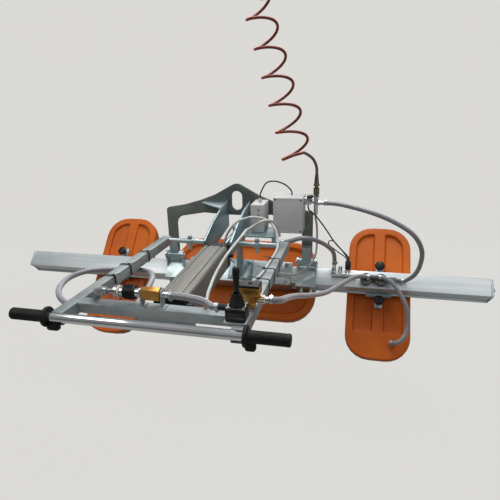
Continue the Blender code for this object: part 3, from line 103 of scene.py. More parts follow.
def makeCamera():
    turn, tip, roll = (math.radians(cameraSet[key]) for key in ("azimuth", "elevation", "roll"))
    facing = Vector((-math.sin(turn) * math.cos(tip), math.cos(turn) * math.cos(tip), -math.sin(tip)))
    level = Vector((math.cos(turn), math.sin(turn), 0))
    above = level.cross(facing)
    right = math.cos(roll) * level + math.sin(roll) * above
    top = math.cos(roll) * above - math.sin(roll) * level
    data = bpy.data.cameras.new("camera")
    data.sensor_width, data.lens, data.clip_end = (cameraSet[key] for key in ("sensor", "lens", "reach"))
    scene.camera = placed("camera", data)
    seen = Matrix((right, top, -facing)).transposed().to_4x4()
    scene.camera.matrix_world = Matrix.Translation(cameraSet["place"]) @ seen


makeCamera()


def srgb(red, green, blue):  # an 8-bit screen colour as the shader's own numbers
    def linear(part):
        part /= 255
        return part / 12.92 if part <= 0.04045 else ((part + 0.055) / 1.055) ** 2.4

    return (linear(red), linear(green), linear(blue), 1)


# node helpers
class Value:  # a socket that takes part in sums
    def __init__(self, nodes, socket):
        self.nodes, self.socket = nodes, socket

    def sum(self, operation, other, swapped=False):
        pair = (other, self) if swapped else (self, other)
        return self.nodes.node("ShaderNodeMath", {"operation": operation}, dict(enumerate(pair)))

    def __add__(self, other):
        return self.sum("ADD", other)

    def __sub__(self, other):
        return self.sum("SUBTRACT", other)

    def __rsub__(self, other):
        return self.sum("SUBTRACT", other, True)

    def __mul__(self, other):
        return self.sum("MULTIPLY", other)

    __radd__ = __add__
    __rmul__ = __mul__


class Nodes:  # adds nodes and links to a tree
    def __init__(self, tree):
        self.tree = tree

    def node(self, kind, settings=None, inputs=None, output=0):
        made = self.tree.nodes.new(kind)
        for key, value in (settings or {}).items():
            if key == "stops":
                while len(made.color_ramp.elements) < len(value):
                    made.color_ramp.elements.new(0.5)
                for element, (position, colour) in zip(made.color_ramp.elements, value):
                    element.position, element.color = position, colour
            else:
                setattr(made, key, value)
        for key, value in (inputs or {}).items():
            self.feed(made.inputs[key], value)
        return Value(self, made.outputs[output])

    def feed(self, socket, value):
        if isinstance(value, Value):
            self.tree.links.new(value.socket, socket)
        else:
            socket.default_value = value


class Finish(Nodes):  # a material whose colour is laid on in layers
    def __init__(self, name, colour=None, **plain):
        self.material = bpy.data.materials.new(name)
        self.material.use_nodes = True
        super().__init__(self.material.node_tree)
        self.shader = self.tree.nodes["Principled BSDF"]
        for socket, value in plain.items():
            self.shader.inputs[socket.replace("_", " ")].default_value = value
        self.place = self.node("ShaderNodeTexCoord", output="Object")
        self.colour = srgb(*colour) if colour else None

    def noise(self, scale, detail, stretch=(1, 1, 1), rough=0.55):
        at = self.node("ShaderNodeMapping", None, {"Vector": self.place, "Scale": stretch})
        wanted = {"Vector": at, "Scale": scale, "Detail": detail, "Roughness": rough}
        return self.node("ShaderNodeTexNoise", None, wanted)

    def cells(self, scale, feature="F1", output="Distance"):
        wanted = {"Vector": self.place, "Scale": scale}
        return self.node("ShaderNodeTexVoronoi", {"feature": feature}, wanted, output)

    def step(self, value, low, high):  # 0 below low, 1 above high, smooth between
        wanted = {"Value": value, "From Min": low, "From Max": high}
        return self.node("ShaderNodeMapRange", {"interpolation_type": "SMOOTHSTEP"}, wanted, "Result")

    def patches(self, scale, detail, low, high, stretch=(1, 1, 1), rough=0.55):
        return self.step(self.noise(scale, detail, stretch, rough), low, high)

    def blend(self, share, first, second):
        return self.node("ShaderNodeMix", {"data_type": "RGBA"}, {0: share, 6: first, 7: second}, 2)

    def axis(self, letter):
        return self.node("ShaderNodeSeparateXYZ", None, {0: self.place}, letter)

    def ground(self, mask, first, second):  # the first colour, and the second where the mask is
        self.colour = self.blend(mask, srgb(*first), srgb(*second))
        return mask

    def cover(self, mask, share, tint):  # a share of a tint over the colour so far
        self.colour = self.blend(mask * share, self.colour, srgb(*tint))

    def layer(self, scale, detail, low, high, share, tint, stretch=(1, 1, 1), rough=0.55):
        mask = self.patches(scale, detail, low, high, stretch, rough)
        self.cover(mask, share, tint)
        return mask

    def wear(self, roughness, relief, depth, strength, metallic=0.0):
        wanted = {"Height": relief, "Distance": depth, "Strength": strength}
        normal = self.node("ShaderNodeBump", None, wanted)
        made = {"Base Color": self.colour, "Roughness": roughness, "Metallic": metallic, "Normal": normal}
        for socket, value in made.items():
            self.feed(self.shader.inputs[socket], value)
        return self.material


# finishes
def platedFinish(name, light, dark, tint, metallic=0.85, rough=0.34):
    made = Finish(name)
    made.ground(made.patches(3.2, 4, 0.32, 0.72), dark, light)
    grain = made.node("ShaderNodeSeparateColor", None, {0: made.cells(38, "SMOOTH_F1", "Color")})
    smear = made.noise(9, 5, (1, 0.25, 1))
    made.layer(1.7, 2, 0.42, 0.7, 0.55, tint)
    made.cover(grain, 0.16, (236, 240, 240))
    dust = made.layer(26, 6, 0.56, 0.8, 0.22, (120, 116, 106), rough=0.7)
    roughness = rough + 0.16 * (smear - 0.5) + 0.12 * grain + 0.2 * dust
    relief = made.noise(420, 2) * 0.4 + grain * 0.6
    return made.wear(roughness, relief, 0.00012, 0.5, metallic - 0.5 * dust)


def frameFinish():
    made = Finish("dullGalvanised")
    patch = made.ground(made.patches(5.5, 5, 0.3, 0.72), (132, 140, 142), (172, 180, 181))
    streak = made.layer(34, 4, 0.5, 0.78, 0.35, (160, 168, 160), (1, 0.12, 1))
    rearBar = made.step(made.axis("Y"), -0.262, -0.252)  # the rear crossbar is bright zinc
    made.cover(rearBar, 0.8, (186, 198, 200))
    scuff = made.layer(60, 6, 0.6, 0.78, 0.3, (70, 72, 68), rough=0.72)
    roughness = 0.42 + 0.16 * patch - 0.12 * streak + 0.14 * scuff
    return made.wear(roughness, made.noise(300, 3) + 0.5 * scuff, 0.0002, 0.4, 0.45 + 0.35 * rearBar)


def bailFinish():
    made = Finish("bailSteel")
    patch = made.ground(made.patches(4, 5, 0.3, 0.75), (104, 111, 106), (146, 152, 143))
    offMiddle = made.node("ShaderNodeMath", {"operation": "ABSOLUTE"}, {0: made.axis("X")})
    middle = 1 - made.step(offMiddle, 0.08, 0.24)
    made.cover(middle, 0.55, (84, 98, 100))
    made.cover(made.patches(7, 3, 0.5, 0.7) * middle, 0.4, (128, 150, 154))
    scratch = made.layer(90, 3, 0.66, 0.78, 0.35, (188, 194, 190), (0.06, 1, 1))
    roughness = 0.46 + 0.14 * patch - 0.1 * scratch
    return made.wear(roughness, made.noise(180, 4) + 0.4 * scratch, 0.00022, 0.45, 0.5)


def beamFinish():
    made = Finish("beamZinc")
    streak = made.noise(7, 6, (0.12, 3, 3), 0.6)
    made.ground(made.step(streak, 0.3, 0.72), (190, 199, 203), (226, 230, 230))
    made.layer(2.6, 3, 0.45, 0.7, 0.35, (160, 178, 188))
    line = made.layer(120, 2, 0.62, 0.75, 0.3, (236, 239, 238), (0.01, 1, 1))
    soil = made.layer(34, 7, 0.6, 0.82, 0.3, (128, 126, 118), rough=0.75)
    roughness = 0.3 + 0.16 * streak + 0.2 * soil - 0.06 * line
    return made.wear(roughness, line + 0.3 * streak, 0.00012, 0.5, 0.46)


def barrelFinish():
    made = Finish("anodisedBarrel")
    line = made.noise(160, 3, (1, 0.008, 1), 0.6)
    made.ground(made.step(line, 0.35, 0.7), (120, 119, 114), (138, 137, 131))
    made.layer(6, 4, 0.42, 0.74, 0.3, (152, 150, 145))
    rub = made.layer(55, 6, 0.62, 0.8, 0.3, (110, 108, 104), rough=0.72)
    return made.wear(0.46 + 0.12 * line + 0.1 * rub, line, 0.00016, 0.5, 0.4)


def chromeFinish(name, colour, rough, smearing=0.1):
    made = Finish(name, colour)
    smear = made.layer(14, 5, 0.42, 0.75, 0.25, (168, 174, 178))
    pit = made.layer(190, 4, 0.66, 0.78, 0.3, (110, 104, 96), rough=0.7)
    return made.wear(rough + smearing * smear + 2.5 * smearing * pit, pit, 0.00005, 0.4, 1.0)


def brassFinish(name, light, dark, rough=0.3):
    made = Finish(name)
    tarnish = made.ground(made.patches(22, 5, 0.38, 0.72), light, dark)
    turning = made.noise(520, 2, (1, 0.02, 0.02))
    spot = made.layer(110, 5, 0.62, 0.78, 0.4, (96, 70, 34), rough=0.75)
    return made.wear(rough + 0.14 * tarnish + 0.2 * spot, turning + 0.3 * spot, 0.00008, 0.5, 0.9)


def mouldedFinish(name, colour, rough, grainSize, grainDepth, dusty):
    made = Finish(name, colour, Specular_IOR_Level=0.36)
    cloud = made.layer(16, 4, 0.4, 0.75, 0.5, [min(255, part + 8) for part in colour])
    dust = made.layer(44, 7, 0.58, 0.82, dusty, (136, 132, 124), rough=0.78)
    grain = made.cells(grainSize) + 0.4 * made.noise(grainSize * 1.7, 2)
    return made.wear(rough + 0.12 * cloud + 0.15 * dust, grain, grainDepth, 0.6)


def padFinish():
    made = Finish("padPolyurethane", Specular_IOR_Level=0.28)
    cloud = made.ground(made.patches(4.2, 4, 0.32, 0.74), (176, 78, 2), (196, 94, 5))
    flow = made.layer(11, 5, 0.46, 0.72, 0.3, (196, 102, 16), (1, 0.3, 0.3))
    grime = made.layer(30, 7, 0.56, 0.84, 0.3, (116, 52, 16), rough=0.75)
    made.cover(made.step(made.cells(260), 0.72, 0.9), 0.08, (222, 140, 70))
    relief = made.noise(340, 4) + 0.5 * flow
    return made.wear(0.4 + 0.14 * cloud + 0.16 * grime, relief, 0.00032, 0.45)


def paintFinish():
    made = Finish("boxPaint", (196, 197, 196), Coat_Weight=0.15, Coat_Roughness=0.3)
    cloud = made.layer(8, 3, 0.4, 0.75, 0.6, (208, 209, 207))
    mark = made.layer(70, 6, 0.63, 0.8, 0.3, (104, 104, 100), rough=0.76)
    return made.wear(0.42 + 0.12 * cloud + 0.12 * mark, made.noise(210, 3), 0.0002, 0.4)


def hoseFinish(name, core, edge, braid, rough=0.28, coat=0.35, worn=None):
    # a darker core with a painted sheen: the colour lightens towards the rims seen side-on, standing for
    # light in the soft clear wall; along the piece's own UV, with two crossing threads
    made = Finish(name, Coat_Weight=coat, Coat_Roughness=0.2, Subsurface_Weight=0.06)
    facing = made.node("ShaderNodeLayerWeight", None, {"Blend": 0.35}, "Facing")
    route = made.node("ShaderNodeUVMap")
    along, around = (made.node("ShaderNodeSeparateXYZ", None, {0: route}, part) for part in "XY")
    length, spin = along * 340, around * (12 * math.pi)
    first, second = (
        made.step(made.node("ShaderNodeMath", {"operation": "SINE"}, {0: angle}), 0.82, 0.98)
        for angle in (length + spin, length - spin)
    )
    thread = first + second
    # painted sheen: the edge colour at grazing view, the darker core colour face-on
    made.ground(made.step(facing, 0.15, 0.85), core, edge)
    made.cover(thread, 0.3 * braid, (206, 208, 212))
    if worn:  # the length next to the coupling, greyed by handling
        end, tone = worn
        made.cover(made.step(along, end + 0.03, end - 0.01), 1, tone)
    soil = made.layer(24, 5, 0.5, 0.8, 0.25, (112, 110, 108))
    return made.wear(rough + 0.16 * soil, thread * braid + 0.3 * made.noise(90, 3), 0.00018, 0.35)


def dialFinish():
    made = Finish("gaugeDial", Coat_Weight=0.6, Coat_Roughness=0.06)
    cloud = made.noise(60, 3)
    made.ground(made.step(cloud, 0.35, 0.7), (66, 64, 46), (84, 80, 58))
    return made.wear(0.34 + 0.1 * cloud, made.noise(700, 2), 0.00005, 0.3)


plates = {  # name, light, dark, tint, metallic, roughness
    "zinc": ("zincPlate", (176, 194, 198), (128, 148, 154), (150, 178, 186)),
    "zincBright": ("zincBright", (206, 214, 214), (160, 172, 174), (176, 198, 202), 0.9, 0.28),
    "darkSteel": ("darkSteel", (82, 86, 84), (54, 58, 57), (66, 72, 72), 0.4, 0.42),
}
chromes = {  # name, colour, roughness, smearing
    "chrome": ("chrome", (214, 217, 220), 0.11),
    "satin": ("satinNickel", (186, 188, 188), 0.24),
    "polished": ("polishedChrome", (228, 231, 235), 0.06, 0.03),
}
mouldings = {  # name, colour, roughness, grain size, grain depth, dust
    "black": ("blackMoulding", (9, 9, 10), 0.4, 620, 0.00012, 0.07),
    "rubber": ("blackRubber", (9, 9, 9), 0.56, 480, 0.0002, 0.1),
    "foam": ("sealFoam", (52, 52, 51), 0.82, 300, 0.0006, 0.2),
    "cable": ("cableSheath", (9, 9, 10), 0.42, 900, 0.00006, 0.08),
    "mark": ("dialMarks", (226, 224, 214), 0.5, 700, 0.00004, 0.1),
}
finishes = {
    **{key: platedFinish(*values) for key, values in plates.items()},
    **{key: chromeFinish(*values) for key, values in chromes.items()},
    **{key: mouldedFinish(*values) for key, values in mouldings.items()},
    "frame": frameFinish(),
    "bail": bailFinish(),
    "beam": beamFinish(),
    "barrel": barrelFinish(),
    "brass": brassFinish("brass", (206, 158, 84), (168, 118, 54)),
    "tarnish": brassFinish("tarnishedBrass", (124, 116, 100), (84, 78, 66), 0.36),
    "pad": padFinish(),
    "paint": paintFinish(),
    # each hose's second colour is its painted sheen at the rims seen side-on
    "hose": hoseFinish("clearHose", (124, 124, 131), (184, 186, 191), 0.4),
    "tube": hoseFinish("whiteTube", (186, 186, 182), (216, 216, 212), 0.0),
    "spiral": hoseFinish("spiralHose", (112, 44, 28), (196, 84, 48), 0.0, 0.34, 0.08, (0.11, (104, 94, 86))),
    "dial": dialFinish(),
}
print("finishes made:", len(finishes))


# mesh helpers
alongX, alongZ, towardsUser = (1, 0, 0), (0, 0, 1), (0, -1, 0)


def mm(*points):  # points or profile corners given in millimetres
    return [tuple(part / 1000 for part in point) for point in points]


def settle(name, mesh, finish, body=None, stands=(), sharp=35):  # the finished piece
    mesh.shade_smooth()
    mesh.set_sharp_from_angle(angle=math.radians(sharp))
    mesh.materials.clear()
    mesh.materials.append(finishes[finish])
    piece = placed(name, mesh)
    if body:
        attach(piece, body)
    for node in stands:
        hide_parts(node)
    return piece


def evaluated(carrier, name):  # the mesh that a carrier's modifiers make
    bpy.context.view_layer.update()
    shaped = carrier.evaluated_get(bpy.context.evaluated_depsgraph_get())
    mesh = bpy.data.meshes.new_from_object(shaped)
    mesh.name = name
    bpy.data.objects.remove(carrier, do_unlink=True)
    return mesh


def fromShape(shape, name, tidy=True):
    if tidy:
        bmesh.ops.remove_doubles(shape, verts=shape.verts, dist=1e-6)
        bmesh.ops.recalc_face_normals(shape, faces=shape.faces)
    mesh = bpy.data.meshes.new(name)
    shape.to_mesh(mesh)
    shape.free()
    return mesh


def aim(base, direction):  # puts a shape's own Z along a direction from a base point
    return Matrix.Translation(base) @ Vector(direction).to_track_quat("Z", "Y").to_matrix().to_4x4()


def turnedMesh(name, profile, base, direction, sides=64, wobble=None):
    shape = bmesh.new()
    rings = []
    for radius, height in profile:
        if radius < 1e-7:
            rings.append([shape.verts.new((0, 0, height))])
            continue
        ring = []
        for i in range(sides):
            angle = 2 * math.pi * i / sides
            grown = radius * (wobble(angle, height) if wobble else 1)
            ring.append(shape.verts.new((grown * math.cos(angle), grown * math.sin(angle), height)))
        rings.append(ring)
    for lower, upper in zip(rings, rings[1:]):
        for i in range(sides):
            j = (i + 1) % sides
            low, high = len(lower), len(upper)  # a ring of one point stands on the axis
            around = [lower[i % low], lower[j % low], upper[j % high], upper[i % high]]
            around = list(dict.fromkeys(around))
            if len(around) > 2:
                shape.faces.new(around)
    mesh = fromShape(shape, name)
    mesh.transform(aim(base, direction))
    return mesh


def turned(name, profile, base, direction, finish, body="frame", sides=48, stands=(), sharp=30):
    return settle(name, turnedMesh(name, profile, base, direction, sides), finish, body, stands, sharp)


def boxMesh(low, high, bevel=0.0, segments=3):
    low, high = Vector(low), Vector(high)
    shape = bmesh.new()
    size = Matrix.Diagonal((*(high - low), 1))
    bmesh.ops.create_cube(shape, size=1, matrix=Matrix.Translation((low + high) / 2) @ size)
    if bevel:
        edges = {"offset": bevel, "segments": segments, "profile": 0.5, "affect": "EDGES"}
        bmesh.ops.bevel(shape, geom=shape.edges, **edges)
    return fromShape(shape, "box")


def joined(name, meshes):
    shape = bmesh.new()
    for mesh in meshes:
        shape.from_mesh(mesh)
        bpy.data.meshes.remove(mesh)
    return fromShape(shape, name, False)


def smoothRoute(points, step):  # points about a step apart on a smooth curve, with straight leads
    points = [Vector(point) for point in points]
    fine = [points[1]]
    for before, start, end, after in zip(points, points[1:], points[2:], points[3:]):
        for i in range(1, 13):
            t = i / 12
            bend = (end - before) * t
            bend += (2 * before - 5 * start + 4 * end - after) * t * t
            bend += (3 * start - before - 3 * end + after) * t**3
            fine.append(start + bend / 2)
    length = sum((b - a).length for a, b in zip(fine, fine[1:]))
    count = max(2, round(length / step))
    route, walked = [points[0], fine[0]], 0.0
    for a, b in zip(fine, fine[1:]):
        span = (b - a).length
        while len(route) <= count and walked + span >= (len(route) - 1) * length / count:
            route.append(a.lerp(b, ((len(route) - 1) * length / count - walked) / span))
        walked += span
    return [*route, fine[-1], points[-1]]


def tubeMesh(name, route, radius, sides):  # a closed tube with U along it in metres and V round it
    shape = bmesh.new()
    layer = shape.loops.layers.uv.new("UVMap")
    side = (route[1] - route[0]).normalized().orthogonal().normalized()
    rings, walked = [], 0.0
    for i, point in enumerate(route):
        before, after = route[max(i - 1, 0)], route[min(i + 1, len(route) - 1)]
        heading = (after - before).normalized()
        side = (side - heading * side.dot(heading)).normalized()
        other = heading.cross(side)
        if i:
            walked += (point - before).length
        turns = [2 * math.pi * j / sides for j in range(sides)]
        ring = [shape.verts.new(point + radius * (math.cos(a) * side + math.sin(a) * other)) for a in turns]
        rings.append((ring, walked))
    for (lower, start), (upper, end) in zip(rings, rings[1:]):
        for j in range(sides):
            k = (j + 1) % sides
            face = shape.faces.new((lower[j], lower[k], upper[k], upper[j]))
            for loop, place in zip(face.loops, ((start, j), (start, j + 1), (end, j + 1), (end, j))):
                loop[layer].uv = (place[0], place[1] / sides)
    for ring, order in ((rings[0][0], -1), (rings[-1][0], 1)):
        shape.faces.new(ring[::order])
    return fromShape(shape, name, False)


# repeated things
def nodeGroup(name, inputs):  # a tree with named inputs
    tree = bpy.data.node_groups.new(name, "GeometryNodeTree")
    for label, kind in inputs.items():
        tree.interface.new_socket(label, in_out="INPUT", socket_type="NodeSocket" + kind)
    tree.interface.new_socket("Geometry", in_out="OUTPUT", socket_type="NodeSocketGeometry")
    made, start = Nodes(tree), tree.nodes.new("NodeGroupInput")
    return made, {label: Value(made, start.outputs[label]) for label in inputs}


def closed(made, wanted, finish):  # instances on points, made real, with their material
    spread = made.node("GeometryNodeInstanceOnPoints", None, wanted)
    real = made.node("GeometryNodeRealizeInstances", None, {"Geometry": spread})
    painted = made.node("GeometryNodeSetMaterial", None, {"Geometry": real, "Material": finish})
    made.feed(made.tree.nodes.new("NodeGroupOutput").inputs["Geometry"], painted)
    return made.tree


def placingTree():
    inputs = {"Geometry": "Geometry", "Shape": "Object", "Size": "Float", "Spin spread": "Float"}
    made, given = nodeGroup("placeOnPoints", {**inputs, "Seed": "Int", "Finish": "Material"})
    directions = (
        made.node("GeometryNodeInputNamedAttribute", {"data_type": "FLOAT_VECTOR"}, {"Name": label})
        for label in ("facing", "along")
    )
    wanted = {"Object": given["Shape"], "As Instance": True}
    shape = made.node("GeometryNodeObjectInfo", None, wanted, "Geometry")
    align = "FunctionNodeAlignRotationToVector"
    facing = made.node(align, {"axis": "Z"}, {"Vector": next(directions)})
    wanted = {"Rotation": facing, "Vector": next(directions)}
    along = made.node(align, {"axis": "X", "pivot_axis": "Z"}, wanted)
    wanted = {3: given["Spin spread"], "Seed": given["Seed"]}  # 3 and 1 are the number's own sockets
    spin = made.node("FunctionNodeRandomValue", {"data_type": "FLOAT"}, wanted, 1)
    wanted = {"Rotation": along, "Rotate By": made.node("ShaderNodeCombineXYZ", None, {"Z": spin})}
    turn = made.node("FunctionNodeRotateRotation", {"rotation_space": "LOCAL"}, wanted)
    wanted = {"Points": given["Geometry"], "Instance": shape, "Rotation": turn, "Scale": given["Size"]}
    return closed(made, wanted, given["Finish"])


def ribTree():
    inputs = {"Count": "Int", "Radius": "Float", "Depth": "Float", "Width": "Float", "Length": "Float"}
    made, given = nodeGroup("ribsRoundAxis", {**inputs, "Finish": "Material"})
    wanted = {"Vertices": given["Count"], "Radius": given["Radius"]}
    circle = made.node("GeometryNodeMeshCircle", None, wanted)
    wanted = {"X": given["Depth"], "Y": given["Width"], "Z": given["Length"]}
    rib = made.node("GeometryNodeMeshCube", None, {"Size": made.node("ShaderNodeCombineXYZ", None, wanted)})
    wanted = {"Vector": made.node("GeometryNodeInputPosition")}
    turn = made.node("FunctionNodeAlignRotationToVector", {"axis": "X", "pivot_axis": "Z"}, wanted)
    return closed(made, {"Points": circle, "Instance": rib, "Rotation": turn}, given["Finish"])


placeOnPoints, ribsRoundAxis = placingTree(), ribTree()


def grown(name, start, tree, finish, **sizes):  # the mesh that a tree makes from a start
    carrier = placed(name + "Carrier", start)
    modifier = carrier.modifiers.new("tree", "NODES")
    modifier.node_group = tree
    wanted = {**sizes, "Finish": finishes[finish]}
    for item in tree.interface.items_tree:
        if item.in_out == "INPUT" and item.name in wanted:
            modifier[item.identifier] = wanted[item.name]
    return evaluated(carrier, name)


def repeated(name, shapeMesh, places, finish, body, spin=0.0):  # a place: a point, what Z faces, what X faces
    cloud = bpy.data.meshes.new(name)
    cloud.from_pydata([place[0] for place in places], [], [])
    for label, index in (("facing", 1), ("along", 2)):
        layer = cloud.attributes.new(label, "FLOAT_VECTOR", "POINT")
        layer.data.foreach_set("vector", [part for place in places for part in place[index]])
    shape = placed(name + "Shape", shapeMesh)
    sizes = {"Shape": shape, "Size": 1.0, "Spin spread": spin, "Seed": 3}
    mesh = grown(name, cloud, placeOnPoints, finish, **sizes)
    bpy.data.objects.remove(shape, do_unlink=True)
    settle(name, mesh, finish, body)


def ribs(name, base, direction, finish, body, **sizes):  # straight ribs round an axis
    mesh = grown(name, bpy.data.meshes.new(name), ribsRoundAxis, finish, **sizes)
    mesh.transform(aim(base, direction))
    settle(name, mesh, finish, body)


def screwShape(head, height):  # a round socket screw's head, with its hexagon sunk in
    profile = [(0, 0), (head * 0.9, 0), (head, height * 0.15), (head, height * 0.75), (head * 0.86, height)]
    profile += [(head * 0.5, height), (head * 0.5, height * 0.45), (0, height * 0.4)]
    return turnedMesh("screw", profile, (0, 0, 0), alongZ, 24)


def hexShape(flats, height):  # a hexagon head on its washer, with a domed top
    reach, wide = flats / math.sqrt(3), flats * 0.75
    plate = [(0, 0), (wide, 0), (wide, height * 0.2), (0, height * 0.2)]
    head = [(0, height * 0.15), (reach, height * 0.15), (reach, height * 0.88)]
    head += [(reach * 0.84, height), (0, height)]
    washer = turnedMesh("washer", plate, (0, 0, 0), alongZ, 32)
    return joined("hexHead", [washer, turnedMesh("hex", head, (0, 0, 0), alongZ, 6)])


def clampShape(radius):  # a worm-drive band with its screw housing
    outer, half, side = radius + 0.0009, 0.0045, 0.00558
    profile = [(radius, -half), (outer, -half), (outer, half), (radius, half), (radius, -half)]
    band = turnedMesh("band", profile, (0, 0, 0), alongZ, 40)
    housing = boxMesh((radius - 0.001, -0.0055, -side), (radius + 0.0048, 0.0055, side), 0.0008)
    profile = mm((0, -8.5), (2.6, -8.5), (2.6, 8.5), (0, 8.5))
    screw = turnedMesh("worm", profile, (radius + 0.0026, 0, 0), (0, 1, 0), 20)
    return joined("clamp", [band, housing, screw])


def groove(radius, depth, top):  # one turned groove below a height
    floor = radius - depth
    return [(radius, top), (floor, top - 0.0008), (floor, top - 0.0020), (radius, top - 0.0028)]


# the beam's own frame
tilt = math.radians(49.5)
pivot = Vector((0, 0, -0.277))
beamTurn = Matrix.Rotation(tilt, 4, "X")


def onBeam(x, ahead, above):
    return pivot + (beamTurn @ Vector((x, ahead - 0.0494, above - 0.0422)))


up, ahead = beamTurn.to_3x3() @ Vector((0, 0, 1)), beamTurn.to_3x3() @ Vector((0, 1, 0))

# the spiral air hose, from the coupling on the inlet
inlet = {"x": 0.359, "y": -0.060, "base": 0.0433, "exit": 0.1313}
spiral = {
    "foot": Vector((0.2763, -0.060, 0.2029)),
    "run": Vector((-0.2137, 0, 0.6674)),
    "leanLow": 0.352,
    "leanHigh": 0.090,
    "slantLength": 0.739,
    "headShare": 0.96,
    "aimShare": 0.8,
    "coilRadius": 0.0596,
    "narrowing": 0.0031,
    "hoseRadius": 0.006,
    "clearance": 0.0006,
    "firstAngle": 202.94,
    "turns": 6,
    "evenness": 0.9338,
    "settling": 43,
    "lastDegrees": 1955,
    "step": 12,
    "lead": 0.0107,
    "tail": ((0.3575, -0.0625, 0.160), (0.352, -0.071, 0.180), (0.340, -0.084, 0.201)),
    "tailStep": 0.009,
    "tailAngles": (-48, -66, -84, -100),
    "headPulls": (0.065, 0.055),
    "headSteps": 14,
}


def coilCentre(share):  # the coil's middle line leans to the rear, most of all at its foot
    lean = spiral["leanLow"] * share + (spiral["leanHigh"] - spiral["leanLow"]) * share**2 / 2
    return spiral["foot"] + spiral["run"] * share + Vector((0, spiral["run"].z * lean, 0))


def coilPoint(share, angle, radius):
    heading = (coilCentre(share + 0.01) - coilCentre(share - 0.01)).normalized()
    outward = Vector((heading.z, 0, -heading.x)).normalized()
    turn = math.radians(angle)
    return coilCentre(share) + radius * (math.cos(turn) * outward + math.sin(turn) * heading.cross(outward))


def spiralRoute():
    lowest = -(spiral["hoseRadius"] + spiral["clearance"]) / spiral["slantLength"]
    exitPoint = Vector((inlet["x"], inlet["y"], inlet["exit"]))
    points = [exitPoint, exitPoint + Vector((0, 0, spiral["lead"])), *spiral["tail"]]
    points += [coilPoint(lowest, angle, spiral["coilRadius"]) for angle in spiral["tailAngles"]]
    route = smoothRoute(points, spiral["tailStep"])[:-1]
    degrees = spiral["firstAngle"] - 360 - spiral["tailAngles"][-1]
    while degrees < spiral["lastDegrees"]:
        done = degrees / (360 * spiral["turns"])
        if degrees > 0:
            share = spiral["evenness"] * done + (1 - spiral["evenness"]) * done**2
        else:
            share = lowest * (1 - max(0, 1 + degrees / spiral["settling"]) ** 2)
        radius = spiral["coilRadius"] - spiral["narrowing"] * max(0, done)
        route.append(coilPoint(share, spiral["firstAngle"] - degrees, radius))
        degrees += spiral["step"]
    start, end = route[-1], coilCentre(spiral["headShare"])
    firstPull = start + (start - route[-2]).normalized() * spiral["headPulls"][0]
    lastPull = end - (end - coilCentre(spiral["aimShare"])).normalized() * spiral["headPulls"][1]
    for i in range(1, spiral["headSteps"] + 1):
        t = i / spiral["headSteps"]
        bend = 3 * (1 - t) ** 2 * t * firstPull + 3 * (1 - t) * t * t * lastPull
        route.append((1 - t) ** 3 * start + bend + t**3 * end)
    return route


def makeSpiral():
    route = spiralRoute()
    length = sum((b - a).length for a, b in zip(route, route[1:]))
    mesh = tubeMesh("airHose", route, spiral["hoseRadius"], 16)
    hose = settle("airHose", mesh, "spiral", "frame", ["air_hose_coil", "air_hose_tail"], 60)
    head = coilCentre(spiral["headShare"])
    axis = (head - coilCentre(spiral["aimShare"])).normalized()
    profile = mm(
        (0, 0), (9, 0), (10.5, 3), (10.5, 9), (15.5, 10), (16, 12.5), (16, 26), (13.5, 33.5), (0, 33.5),
    )
    mesh = turnedMesh("ceilingFitting", profile, head + axis * 0.0003, axis, 6)
    fitting = settle("ceilingFitting", mesh, "satin", "frame", ["ceiling_fitting"])
    print("air hose length", round(length, 3))


makeSpiral()

# hoses, cables and thin tubes
tubeKinds = {  # radius, step, sides, finish
    "hose": (0.0095, 0.00855, 24, "hose"),
    "cable": (0.003, 0.0027, 14, "cable"),
    "thin": (0.0046, 0.005, 14, "tube"),
    "loop": (0.0024, 0.003, 12, "cable"),
}
hoseRoutes = {
    "hose_left": mm(
        (-145.3, -880, -78), (-163, -880, -78), (-188, -869, -87), (-201, -846, -106), (-211, -837, -138),
        (-224, -835, -164), (-252.5, -832, -173), (-300, -828, -170), (-352, -808, -163),
        (-395, -771, -156), (-425, -715, -152), (-438, -636, -152), (-413, -560, -157), (-352, -512, -166),
        (-295, -489, -173), (-252.5, -484, -173), (-205, -503, -172), (-168, -560, -168),
        (-142, -650, -168), (-126, -740, -170), (-116, -800, -172), (-103, -826, -175), (-84, -836, -175),
        (-66.3, -836, -175),
    ),
    "hose_valves": mm(
        (36.3, -880, -78), (54, -880, -78), (100, -886, -78), (140, -896, -79), (172, -914, -84.2),
        (189.7, -914, -84.2),
    ),
    "hose_manifold": mm(
        (224.6, -158, -138), (240, -158, -138), (270, -158, -130), (305, -154, -119), (342, -140, -122),
        (378, -108, -142), (412, -60, -176), (436, -2, -222), (441.5, 29, -262), (442, 37.9, -278.7),
        (442, 26.4, -292.2),
    ),
    "hose_supply": mm(
        (391.3, -60, 12), (410, -60, 12), (445, -68, 12), (499, -85, 6), (586, -98, -14), (672, -100, -47),
        (752, -98, -98), (792, -88, -165), (794, -70, -236), (778, -44, -292), (746, -9.9, -333.6),
        (728.3, -9.9, -333.6),
    ),
    "hose_gauge": mm(
        (306.8, -830, -92.2), (318, -830, -92.2), (334, -800, -103), (337, -750, -121), (340, -680, -147),
        (352, -580, -186), (380, -470, -230), (428, -330, -276), (478, -190, -297), (525, -85, -306),
        (556, -44, -312), (582, -31.9, -314.7), (599.7, -31.9, -314.7),
    ),
    "hose_pad": mm(
        (632.3, -31.9, -314.7), (650, -31.9, -314.7), (677, -37, -324), (702, -48, -341), (736, -68, -387),
        (760, -86, -440), (765, -105, -500), (750, -130, -545), (726, -139, -566), (707, -126.4, -579.7),
        (707, -111.2, -592.7),
    ),
}
cableRoutes = {
    "link_cable": mm(
        (120, -62.3, 26.8), (120, -62.3, 42.5), (144, -58, 89), (179, -54, 99), (220, -52, 88),
        (246, -50.3, 68), (256, -50.3, 50.5), (256, -50.3, 40.8),
    ),
    "sensor_cable": mm(
        (326, -60, 5.7), (326, -60, -5), (332, -74, -16), (345, -82, -24), (369, -82, -48),
        (405, -68, -100), (440, -42, -160), (475, 2, -213), (497, 38, -248), (503, 45.2, -257.8),
        (503, 38, -266.2),
    ),
}
